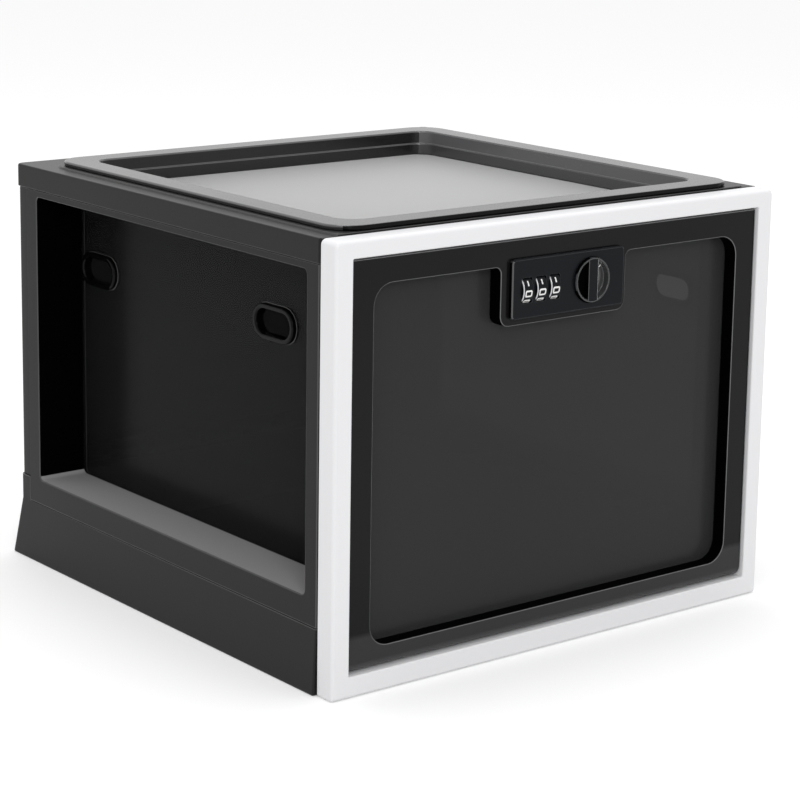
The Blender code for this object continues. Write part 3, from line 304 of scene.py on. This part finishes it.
def painted_floor_reflection(finish, flow, painted_reflection_top):
    """A painted reflection of the white floor: paler below the top of the roll, in two steps.
    """
    height = finish.height()
    upper = ((painted_reflection_top - height) * 300.0).clamped() * 0.25
    lower = ((painted_reflection_top * 0.52 - height) * 150.0).clamped() * 0.7
    return flow * 0.03 + upper + lower


def moulded(name, colour, roughness, specular, skin, flow_tone_and_sheen, edge_tone_wear_and_highlight, painted_reflection_top=None):
    """Plastic out of a mould: grain in the skin, slow flow, and paler edges, partly from
    handling and partly a painted highlight.
    """
    grain, depth = skin
    finish = Finish(name, colour, roughness, {"Specular IOR Level": specular})
    pores = finish.noise(grain, 3.0)
    flow = finish.noise(flow_scale, 1.0)
    patches = finish.noise(wear_scale, 3.0) * 0.6 + 0.5
    # Paler edges: partly wear from handling, partly a painted highlight.
    edge_mask_wear_and_highlight = finish.edges(wear_highlight_width, wear_highlight_strength) * patches
    # Random flow tone, and on the door a painted reflection of the white floor below the roll's
    # top.
    flow_tone_with_painted_sheen = painted_floor_reflection(finish, flow, painted_reflection_top) if painted_reflection_top else flow * 0.3
    finish.tint(flow_tone_with_painted_sheen.clamped(), flow_tone_and_sheen)
    finish.tint(edge_mask_wear_and_highlight.clamped(), edge_tone_wear_and_highlight)
    finish.gloss((flow - 0.5) * 0.10 + (pores - 0.5) * 0.16 + edge_mask_wear_and_highlight * 0.08)
    finish.relief(pores, depth)
    return finish.material


# %% Mix the plastics of the shell
def grey(level):
    return (level, level, level)


satin_skin = (2600.0, 0.00003)
fine_skin = (2600.0, 0.00001)
recess_skin = (2600.0, 0.00002)
white_skin = (2200.0, 0.00001)
polished_skin = (900.0, 0.000004)
door_skin = (700.0, 0.000003)
black = (0.012, 0.0118, 0.012)
black_rubbed = (0.020, 0.0195, 0.020)
black_wear_and_highlight = (0.045, 0.044, 0.045)

satin_shell = moulded(
    "satin_shell", black, roughness=0.46, specular=0.17, skin=satin_skin,
    flow_tone_and_sheen=black_rubbed, edge_tone_wear_and_highlight=black_wear_and_highlight)
# Edge finishes are paler than the faces: the paler colour is a painted highlight on the rounded
# edges.
satin_edge_highlight = moulded(
    "satin_edge_highlight", (0.034, 0.0335, 0.034), roughness=0.36, specular=0.7, skin=fine_skin,
    flow_tone_and_sheen=black_rubbed, edge_tone_wear_and_highlight=grey(0.06))
top_satin = moulded(
    "top_satin", black, roughness=0.38, specular=0.30, skin=satin_skin,
    flow_tone_and_sheen=black_rubbed, edge_tone_wear_and_highlight=black_wear_and_highlight)
# Painted shade: near-black for recess walls, the door's window walls, the plate's left wall and
# the knob's left pocket.
painted_shade_black = moulded(
    "painted_shade_black", grey(0.001), roughness=0.50, specular=0.01, skin=recess_skin,
    flow_tone_and_sheen=grey(0.001), edge_tone_wear_and_highlight=grey(0.004))
# Painted reflection: a pale grey for the sills of the side recesses.
sill_painted_reflection = moulded(
    "sill_painted_reflection", (0.33, 0.325, 0.332), roughness=0.50, specular=0.3, skin=satin_skin,
    flow_tone_and_sheen=grey(0.36), edge_tone_wear_and_highlight=grey(0.42))
white_shell = moulded(
    "white_shell", (0.85, 0.85, 0.865), roughness=0.34, specular=0.4, skin=white_skin,
    flow_tone_and_sheen=(0.83, 0.83, 0.84), edge_tone_wear_and_highlight=(0.87, 0.87, 0.88))
print("shell:", satin_shell.name, satin_edge_highlight.name, top_satin.name, white_shell.name)

# %% Mix the polished plastics of the lid and the ports
rim_gloss = moulded(
    "rim_gloss", black, roughness=0.20, specular=0.5, skin=polished_skin,
    flow_tone_and_sheen=black_rubbed, edge_tone_wear_and_highlight=grey(0.07))
# Painted highlight: a paler finish for the rim's rounded edges.
rim_edge_highlight = moulded(
    "rim_edge_highlight", (0.05, 0.05, 0.052), roughness=0.18, specular=1.0, skin=polished_skin,
    flow_tone_and_sheen=grey(0.06), edge_tone_wear_and_highlight=grey(0.09))
# Painted light: the rim's right inner wall, paler in its upper step than in its lower.
wall_painted_light_high = moulded(
    "wall_painted_light_high", (0.120, 0.120, 0.124), roughness=0.24, specular=0.5, skin=polished_skin,
    flow_tone_and_sheen=grey(0.17), edge_tone_wear_and_highlight=grey(0.2))
wall_painted_light_low = moulded(
    "wall_painted_light_low", (0.062, 0.062, 0.064), roughness=0.24, specular=0.5, skin=polished_skin,
    flow_tone_and_sheen=grey(0.07), edge_tone_wear_and_highlight=grey(0.1))
# Near-black: the port lips' own thick dye, and painted shade on the rim's front.
lip_black_and_painted_shade = moulded(
    "lip_black_and_painted_shade", grey(0.002), roughness=0.12, specular=0.10, skin=polished_skin,
    flow_tone_and_sheen=grey(0.003), edge_tone_wear_and_highlight=grey(0.02))
# Painted highlight: a paler finish for the rounded edges of the side panes and their lips.
lip_edge_highlight = moulded(
    "lip_edge_highlight", grey(0.14), roughness=0.14, specular=1.0, skin=polished_skin,
    flow_tone_and_sheen=grey(0.16), edge_tone_wear_and_highlight=grey(0.2))
print("lid and ports:", rim_gloss.name, rim_edge_highlight.name, lip_black_and_painted_shade.name, lip_edge_highlight.name)

# %% Mix the plastics of the door and the lock
# The door's paler colour below the roll's top is a painted reflection of the white floor.
door_gloss = moulded(
    "door_gloss", (0.0045, 0.0045, 0.005), roughness=0.16, specular=0.12, skin=door_skin,
    flow_tone_and_sheen=(0.115, 0.114, 0.117), edge_tone_wear_and_highlight=(0.10, 0.10, 0.102), painted_reflection_top=0.0350)
# Painted highlight: a paler finish for the door's rounded edges.
door_edge_highlight = moulded(
    "door_edge_highlight", (0.09, 0.09, 0.092), roughness=0.14, specular=1.0, skin=door_skin,
    flow_tone_and_sheen=grey(0.1), edge_tone_wear_and_highlight=grey(0.12))
lock_shell = moulded(
    "lock_shell", (0.006, 0.0072, 0.0092), roughness=0.30, specular=0.08, skin=fine_skin,
    flow_tone_and_sheen=(0.012, 0.013, 0.015), edge_tone_wear_and_highlight=(0.05, 0.051, 0.053))
# Painted light: a paler finish for the lock's rounded edges, the plate's sloped ends and the
# knob's right pocket.
lock_painted_light = moulded(
    "lock_painted_light", (0.035, 0.036, 0.038), roughness=0.20, specular=0.8, skin=fine_skin,
    flow_tone_and_sheen=grey(0.04), edge_tone_wear_and_highlight=grey(0.08))
# Painted highlight: near-white for the right edge of the knob's grip bar.
grip_painted_highlight = moulded(
    "grip_painted_highlight", (0.75, 0.75, 0.77), roughness=0.20, specular=1.0, skin=fine_skin,
    flow_tone_and_sheen=grey(0.36), edge_tone_wear_and_highlight=grey(0.4))
print("door and lock:", door_gloss.name, door_edge_highlight.name, lock_shell.name, lock_painted_light.name)

# %% [markdown]
# ### Smoked panes
# The panes are clear plastic with a dark dye, polished on both faces. Real glass shading
# would need many bounces to light what lies behind. A dark, partly see-through gloss
# gives the same look: the dye hides most, and the ports and ribs behind stay faint. A pane
# has two faces, so each face lets through only its own share. The pane in the lid also
# carries a haze of fine scratches, which a sheen shows at a low angle.

# %% Mix the smoked panes
def smoked(name, dye, clear, roughness, fixed):
    finish = Finish(name, dye, roughness, fixed)
    wave = finish.noise(14.0, 1.0)
    cloud = finish.noise(5.0, 1.0)
    finish.tint(cloud * 0.6, tuple(channel * 1.2 for channel in dye))
    finish.gloss((wave - 0.5) * 0.03)
    finish.plug(finish.shader.inputs["Alpha"], (1.0 - clear) + (cloud - 0.5) * 0.06)
    finish.relief(wave, 0.00002)
    return finish.material


haze = {"Specular IOR Level": 0.5, "Sheen Weight": 1.0, "Sheen Roughness": 0.50}
smoked_door = smoked(
    "smoked_door", (0.034, 0.034, 0.035), clear=0.13, roughness=0.22,
    fixed={"Specular IOR Level": 0.08})
smoked_side = smoked(
    "smoked_side", (0.012, 0.012, 0.0125), clear=0.34, roughness=0.22,
    fixed={"Specular IOR Level": 0.05})
smoked_back = smoked(
    "smoked_back", (0.008, 0.008, 0.0085), clear=0.05, roughness=0.12,
    fixed={"Specular IOR Level": 0.3})
smoked_tray = smoked(
    "smoked_tray", (0.060, 0.060, 0.061), clear=0.06, roughness=0.34, fixed=haze)
print("panes:", smoked_door.name, smoked_side.name, smoked_back.name, smoked_tray.name)

# %% [markdown]
# ### Metal and ink
# The pins, the cam and the lock's springs are plated steel, drawn or stamped, so their
# marks run one way. A noise that is stretched along one axis gives such marks without a
# picture. The code sleeves are turned brass. The numbers are thick white ink, which is a
# little uneven in colour and gloss.

# %% Mix the metals
def metal(name, colour, roughness, marks):
    finish = Finish(name, colour, roughness, {"Metallic": 1.0})
    lines = finish.noise(900.0, 2.0, marks)
    cloud = finish.noise(220.0, 3.0)
    dull = tuple(channel * 0.72 for channel in colour)
    finish.tint((cloud * 0.6 + lines * 0.3).clamped(), dull)
    finish.gloss((lines - 0.5) * 0.22 + (cloud - 0.5) * 0.12)
    finish.relief(lines, 0.000006)
    return finish.material


plated_steel = metal("plated_steel", (0.60, 0.60, 0.62), roughness=0.30, marks=(1, 1, 0.05))
pin_steel = metal("pin_steel", (0.55, 0.55, 0.56), roughness=0.26, marks=(0.05, 1, 1))
turned_brass = metal("turned_brass", (0.72, 0.58, 0.30), roughness=0.32, marks=(1, 0.2, 0.2))
print("metals:", plated_steel.name, pin_steel.name, turned_brass.name)

# %% Mix the ink
def printed_ink(name):
    finish = Finish(name, (0.86, 0.86, 0.85), 0.45, {"Specular IOR Level": 0.4})
    speckle = finish.noise(3500.0, 3.0)
    finish.tint((speckle * 0.4).clamped(), (0.74, 0.74, 0.73))
    finish.gloss((speckle - 0.5) * 0.2)
    finish.relief(speckle, 0.00001)
    return finish.material


white_ink = printed_ink("white_ink")
print("ink:", white_ink.name)

# %% [markdown]
# ## Softening the mouldings
# A real moulding has no knife edges: the tool that cut the mould left a small radius
# everywhere, and that radius is what catches the light. It could be modelled anew on
# every piece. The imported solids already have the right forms, so each is copied, its
# loose triangles are merged into flat faces, and only its sharp edges are rounded. The
# rounded strips can take a finish of their own.

# %% Helpers that act on one piece
smooth_limit = math.radians(50)


def pick(piece):
    bpy.ops.object.select_all(action="DESELECT")
    piece.select_set(True)
    bpy.context.view_layer.objects.active = piece


def apply_modifier(piece, kind, settings):
    pick(piece)
    modifier = piece.modifiers.new(kind.lower(), kind)
    for name, value in settings.items():
        setattr(modifier, name, value)
    bpy.ops.object.modifier_apply(modifier=modifier.name)


def smooth(piece):
    pick(piece)
    bpy.ops.object.shade_smooth_by_angle(angle=smooth_limit)
    apply_modifier(piece, "WEIGHTED_NORMAL", {"keep_sharp": True, "weight": 80})


def set_finish(piece, material):
    piece.data.materials.clear()
    piece.data.materials.append(material)


def fit(piece, body, slot_name, *stands_for):
    """Let a piece move with a body and in place of a solid; its slot name is not used."""
    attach(piece, body)
    if stands_for:
        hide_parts(*stands_for)
    print(piece.name, len(piece.data.polygons), "faces, on", body)
    return piece


# %% Copy a solid and round its edges
weld_distance = 0.000005
flat_limit = math.radians(0.5)
sharp_limit = math.radians(38)


def merged_copy(node):
    """A copy of a solid as a free piece, with whole faces in place of loose triangles."""
    pick(nodes[node])
    bpy.ops.object.duplicate()
    piece = bpy.context.active_object
    piece.name = node + "_soft"
    piece.parent = None
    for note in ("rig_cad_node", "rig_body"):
        del piece[note]
    pick(piece)
    bpy.ops.object.mode_set(mode="EDIT")
    bpy.ops.mesh.select_all(action="SELECT")
    bpy.ops.mesh.remove_doubles(threshold=weld_distance)
    bpy.ops.mesh.dissolve_limited(angle_limit=flat_limit)
    bpy.ops.object.mode_set(mode="OBJECT")
    return piece


def softened(node, radius, body, slot_name, material, edge=None, steps=2, clamp=True):
    piece = merged_copy(node)
    set_finish(piece, material)
    # A second finish on the rounded strips; where it is paler, it is a painted highlight.
    if edge:
        piece.data.materials.append(edge)
    if radius > 0:
        apply_modifier(piece, "BEVEL", {
            "width": radius, "segments": steps, "limit_method": "ANGLE",
            "angle_limit": sharp_limit, "use_clamp_overlap": clamp,
            "material": 1 if edge else 0})
    smooth(piece)
    return fit(piece, body, slot_name, node)


# %% Give some faces another finish
def paint(piece, material, wanted):
    """Paint the faces whose middle and normal pass a test."""
    piece.data.materials.append(material)
    index = len(piece.data.materials) - 1
    painted = 0
    for face in piece.data.polygons:
        if wanted(piece.matrix_world @ face.center, face.normal):
            face.material_index = index
            painted += 1
    print(piece.name, "has", painted, "faces in", material.name)


# %% [markdown]
# ## The cabinet
# The shell is a skirted base with its floor panel, two side frames, a back frame, the top
# band and the raised rim of the lid. The white bezel closes the front. Each moulding keeps
# its own small radius, so that the seams between them show as fine lines. One joined mesh
# would be quicker to round, but its seams would be gone.

# %% Soften the shell
shell_radii = {"base_tray": 0.0005, "floor_panel": 0.0003, "left_side_frame": 0.0006,
               "right_side_frame": 0.0006, "back_frame": 0.0005, "top_frame": 0.0004}
shell = {}
for node, radius in shell_radii.items():
    shell[node] = softened(
        node, radius, "cabinet", "shell_black", satin_shell, satin_edge_highlight, clamp=False)
softened("front_bezel", 0.0003, "cabinet", "bezel_white", white_shell)
paint(shell["top_frame"], top_satin, lambda centre, normal: normal.z > 0.9)

# %% [markdown]
# ### The lid's rim
# The rim is one polished moulding whose inner wall goes down in two steps to the tray's
# floor. Its wall at the right is painted paler as painted light, the upper step paler
# than the lower one, while the front of the rim is painted near-black as painted shade.
# A lamp for each face would light its neighbours too, so the faces get these painted
# finishes of their own, picked by place and normal.

# %% Soften and paint the rim
tray_low = 0.2400
tray_step = 0.2505
tray_top = 0.2585
tray_reach = 0.1360
rim_front = -0.1500
rim = softened("lid_rim", 0.0005, "cabinet", "rim_black", rim_gloss, rim_edge_highlight, steps=3)
# The right inner wall is painted paler as painted light, in two steps.
for finish, low, high in ((wall_painted_light_high, tray_step, tray_top), (wall_painted_light_low, tray_low, tray_step)):
    paint(rim, finish, lambda centre, normal: normal.x < -0.6
          and 0 < centre.x < tray_reach and low < centre.z < high)
# The rim's front is painted near-black as painted shade.
paint(rim, lip_black_and_painted_shade, lambda centre, normal: normal.y < -0.5 and centre.y < rim_front)

# %% [markdown]
# ### The recesses of the side windows
# The side windows lie deep in their frames. The walls of a recess are painted near-black
# as painted shade, and its sill is painted pale grey as a painted reflection of the room.
# The faces of both frames that lie inside a box round the recess are picked, the sill by
# its upward normal.

# %% Paint the recesses
recess_side = (0.1320, 0.1646)
recess_length = (-0.1470, 0.1410)
recess_height = (0.0530, 0.2385)


def between(value, ends):
    return ends[0] < value < ends[1]


def in_recess(centre):
    return (between(abs(centre.x), recess_side) and between(centre.y, recess_length)
            and between(centre.z, recess_height))


for side in ("left", "right"):
    side_frame = shell[side + "_side_frame"]
    # The recess walls are painted near-black as painted shade.
    paint(side_frame, painted_shade_black, lambda centre, normal: in_recess(centre)
          and (abs(normal.y) > 0.5 or normal.z < -0.5))
    # The sill is painted pale grey as a painted reflection of the room.
    paint(side_frame, sill_painted_reflection, lambda centre, normal: in_recess(centre) and normal.z > 0.5)

# %% [markdown]
# ### Panes and pins
# Each side pane has two ports, which are stadium holes with a raised lip to put a finger
# or a cable through. The lips are as dark as the holes, and only their polished edges
# show, in a paler finish that is a painted highlight. A separate ring could be laid on
# the pane, but the lip is part of the same moulding, so the faces of the lips are painted.

# %% Hang the smoked panes
lip_front = 0.1321
port_level = 0.1900
port_half_height = 0.0107
port_half_length = 0.0200
port_places = {"left": (0.11755, -0.07145), "right": (-0.12215, 0.06685)}


def in_port(centre, places):
    return (abs(centre.z - port_level) < port_half_height
            and min(abs(centre.y - place) for place in places) < port_half_length)


for side, places in port_places.items():
    # The panes' rounded edges take the paler lip finish, a painted highlight.
    side_pane = softened(
        side + "_side_pane", 0.0003, "cabinet", "smoked_clear", smoked_side, lip_edge_highlight)
    paint(side_pane, lip_black_and_painted_shade, lambda centre, normal: abs(centre.x) > lip_front
          or (abs(normal.x) < 0.5 and in_port(centre, places)))
softened("back_pane", 0.0002, "cabinet", "smoked_clear", smoked_back)
softened("lid_pane", 0.0002, "cabinet", "smoked_clear", smoked_tray)
for side in ("left", "right"):
    softened(side + "_hinge_pin", 0.0004, "cabinet", "pin_steel", pin_steel)

# %% [markdown]
# ## The door
# The door is one glossy black moulding round a smoked pane. Its lower edge is a full
# round, so that it can roll on its pins inside the bezel. The wall of its window is
# narrow and faces the pane, and it is painted near-black as painted shade.

# %% Soften the door and set its pane
window_reach = 0.1410
window_height = (0.0230, 0.2310)
window_depth = (-0.1686, -0.1578)
door = softened("door_frame", 0.0004, "door", "door_black", door_gloss, door_edge_highlight, clamp=False)
# The window's walls are painted near-black as painted shade.
paint(door, painted_shade_black, lambda centre, normal: abs(normal.y) < 0.3
      and abs(centre.x) < window_reach and between(centre.z, window_height)
      and between(centre.y, window_depth))
softened("door_pane", 0.0002, "door", "smoked_clear", smoked_door)

# %% [markdown]
# ## The lock
# The faceplate is a thin raised moulding with three slots and a bore. Its sloped ends are
# painted paler as a painted highlight, and its left wall is painted near-black as painted
# shade. Behind it are the case, the axle, the springs and the bar, in plated steel, and
# the brass code sleeves in the dials. They are hardly seen, but they are there when the
# door is open or a dial turns.

# %% Soften the fixed pieces of the lock
plate_end = 0.0420
plate_slope = 0.0415
plate = softened("lock_faceplate", 0.0004, "door", "lock_black", lock_shell, lock_painted_light)
# The plate's left wall is painted near-black as painted shade.
paint(plate, painted_shade_black, lambda centre, normal: centre.x < -plate_end and normal.x < -0.95)
# The plate's sloped ends are painted paler as a painted highlight.
paint(plate, lock_painted_light, lambda centre, normal: abs(centre.x) > plate_slope
      and 0.3 < abs(normal.x) < 0.95)
softened("lock_case", 0.0003, "door", "lock_black", lock_shell)
for node in ("lock_screw_left", "lock_screw_right", "dial_axle", "locking_bar"):
    softened(node, 0.0001, "door", "lock_steel", plated_steel)
for node in ("sleeve_spring", "detent_spring"):
    softened(node, 0, "door", "lock_steel", plated_steel)

# %% Soften the dials and the pieces that turn with the knob
for number in ("1", "2", "3"):
    softened("code_sleeve_" + number, 0.0001, "dial_" + number, "lock_brass", turned_brass)
    drum = softened(
        "number_dial_" + number, 0.0001, "dial_" + number, "dial_black", lock_shell)
    # The left chamfer of each drum is painted in bright plated steel as a painted highlight.
    paint(drum, plated_steel, lambda centre, normal: -0.95 < normal.x < -0.3)
for node in ("spindle", "cam", "cam_washer", "cam_nut"):
    softened(node, 0.0002, "knob_group", "lock_steel", plated_steel)

# %% [markdown]
# ### The knob
# The knob is a cup that a grip bar parts into two pockets. The left pocket is painted
# near-black as painted shade and the right one paler as painted light, and the right edge
# of the bar carries a painted highlight, a bright line. The faces are picked by how far
# they lie from the middle of the bar.

# %% Soften and paint the knob
knob_centre = 0.0167
grip_reach = 0.0035
grip_margin = 0.0002
grip_front = -0.1738
edge_reach = 0.0005
pocket_reach = 0.0120
pocket_depth = (-0.1739, -0.1700)
knob = softened("knob", 0.0004, "knob_group", "lock_black", lock_shell, lock_painted_light)
# The left pocket is painted near-black as painted shade, the right one paler as painted light.
for side, finish in ((-1, painted_shade_black), (1, lock_painted_light)):
    paint(knob, finish, lambda centre, normal: between(centre.y, pocket_depth)
          and grip_reach - grip_margin < side * (centre.x - knob_centre) < pocket_reach
          and (side < 0 or normal.x < 0.2))
# The right edge of the grip bar is painted near-white as a painted highlight.
paint(knob, grip_painted_highlight, lambda centre, normal: centre.y < grip_front
      and abs(centre.x - knob_centre - grip_reach) < edge_reach
      and abs(normal.x) > 0.3 and abs(normal.z) < 0.2)

# %% [markdown]
# ## Numbers on the dials
# A dial carries the numbers 0 to 9, a tenth of a turn apart, in thick printed strokes. A
# font would be quick, but its curves are finer than these squared ones. So each number is
# a few straight strokes with rounded corners, laid round the drum as a thick cord that is
# mostly sunk in it. The sunk part is cut away, and the skin that is left is the ink.

# %% Draw the ten numbers as strokes
stroke_side = 0.0021
stroke_rise = 0.00155
low_left, low_right = (-stroke_side, -stroke_rise), (stroke_side, -stroke_rise)
mid_left, mid_right = (-stroke_side, 0), (stroke_side, 0)
high_left, high_right = (-stroke_side, stroke_rise), (stroke_side, stroke_rise)
middle = stroke_side * 0.4
ring = [low_left, low_right, high_right, high_left, low_left]
number_strokes = [
    [ring],
    [[(0, -stroke_rise), (0, stroke_rise)]],
    [[high_left, high_right, mid_right, mid_left, low_left, low_right]],
    [[high_left, high_right, low_right, low_left], [(-middle, 0), mid_right]],
    [[high_left, mid_left, mid_right], [(middle, stroke_rise), (middle, -stroke_rise)]],
    [[high_right, high_left, mid_left, mid_right, low_right, low_left]],
    [[high_right, high_left, low_left, low_right, mid_right, mid_left]],
    [[high_left, high_right, (-middle, -stroke_rise)]],
    [ring, [mid_left, mid_right]],
    [[mid_right, mid_left, high_left, high_right, low_right, low_left]]]
print("numbers drawn:", len(number_strokes))

# %% Round the corners of a stroke
stroke_corner = 0.0006
stroke_pitch = 0.0004


def rounded_corners(spots, closed):
    """The corners of a stroke, each inner one replaced by a short curve."""
    count = len(spots)
    turned = []
    for index, spot in enumerate(spots):
        if not closed and index in (0, count - 1):
            turned.append(spot)
            continue
        before = spot + (spots[index - 1] - spot).normalized() * stroke_corner
        after = spot + (spots[(index + 1) % count] - spot).normalized() * stroke_corner
        for part in (0, 0.25, 0.5, 0.75, 1):
            turned.append(before.lerp(spot, part).lerp(spot.lerp(after, part), part))
    if closed:
        turned.append(turned[0])
    return turned


def stroke_path(corners):
    """Even points along a stroke, and whether it closes on itself."""
    closed = corners[0] == corners[-1]
    spots = [Vector(corner) for corner in (corners[:-1] if closed else corners)]
    turned = rounded_corners(spots, closed)
    path = [turned[0]]
    for start, end in zip(turned, turned[1:]):
        steps = max(1, math.ceil((end - start).length / stroke_pitch))
        path.extend(start.lerp(end, step / steps) for step in range(1, steps + 1))
    return path[:-1] if closed else path, closed


# %% Lay the strokes round a drum
dial_axis = (-0.16455, 0.2145)
drum_radius = 0.0095
ink_rise = 0.00006
ink_half_width = 0.00042
cord_radius = ink_half_width ** 2 / (2 * ink_rise)
cord_level = drum_radius + ink_rise - cord_radius
zero_turn = math.radians(-10)
number_turn = math.radians(36)


def on_drum(across, along, number, place):
    turn = along / drum_radius + zero_turn + number * number_turn
    return (place + across, dial_axis[0] - cord_level * math.cos(turn),
            dial_axis[1] + cord_level * math.sin(turn))


def number_cords(name, place):
    """All ten numbers of a dial as thick cords, made a mesh."""
    curve = bpy.data.curves.new(name, "CURVE")
    curve.dimensions = "3D"
    curve.bevel_depth = cord_radius
    curve.bevel_resolution = 14
    for number, strokes in enumerate(number_strokes):
        for corners in strokes:
            path, closed = stroke_path(corners)
            spline = curve.splines.new("POLY")
            spline.points.add(len(path) - 1)
            for point, spot in zip(spline.points, path):
                point.co = (*on_drum(spot.x, spot.y, number, place), 1)
            spline.use_cyclic_u = closed
    guide = bpy.data.objects.new(name, curve)
    bpy.context.scene.collection.objects.link(guide)
    pick(guide)
    bpy.ops.object.convert(target="MESH")
    return bpy.context.active_object


print("cords of", round(cord_radius * 1000, 3), "mm radius on drums of", drum_radius * 1000)

# %% Print them on the dials
dial_places = {"1": -0.0317, "2": -0.0214, "3": -0.0111}


def cut_sunk_part(ink):
    """Delete what lies inside the drum, so that only the ink's skin is left."""
    bpy.ops.object.mode_set(mode="EDIT")
    bpy.ops.mesh.select_mode(type="VERT")
    bpy.ops.mesh.select_all(action="DESELECT")
    bpy.ops.object.mode_set(mode="OBJECT")
    for vertex in ink.data.vertices:
        reach = math.hypot(vertex.co.y - dial_axis[0], vertex.co.z - dial_axis[1])
        vertex.select = reach < drum_radius - ink_rise
    bpy.ops.object.mode_set(mode="EDIT")
    bpy.ops.mesh.delete(type="VERT")
    bpy.ops.object.mode_set(mode="OBJECT")


for number, place in dial_places.items():
    ink = number_cords("printed_numbers_" + number, place)
    cut_sunk_part(ink)
    bpy.ops.object.shade_smooth()
    set_finish(ink, white_ink)
    fit(ink, "dial_" + number, "dial_black")

# %% [markdown]
# ## The knob's mark
# A short dash of the same ink on the floor of the right pocket shows how far the knob is
# turned. It could be painted in the knob's material, but a thin bevelled piece keeps a
# crisp edge at any distance. It is made at its place, then turned with its mesh.

# %% Mark the knob
pocket_floor = -0.17055
mark_spot = (0.0245, 0.2225)
mark_size = (0.0019, 0.0003, 0.0007)
bpy.ops.object.select_all(action="DESELECT")
bpy.ops.mesh.primitive_cube_add(
    size=1, location=(mark_spot[0], pocket_floor - mark_size[1] / 2, mark_spot[1]),
    rotation=(0, math.radians(-45), 0), scale=mark_size)
mark = bpy.context.active_object
mark.name = "knob_mark"
bpy.ops.object.transform_apply(location=True, rotation=True, scale=True)
apply_modifier(mark, "BEVEL", {"width": 0.00012, "segments": 2})
smooth(mark)
set_finish(mark, white_ink)
fit(mark, "knob_group", "lock_black")
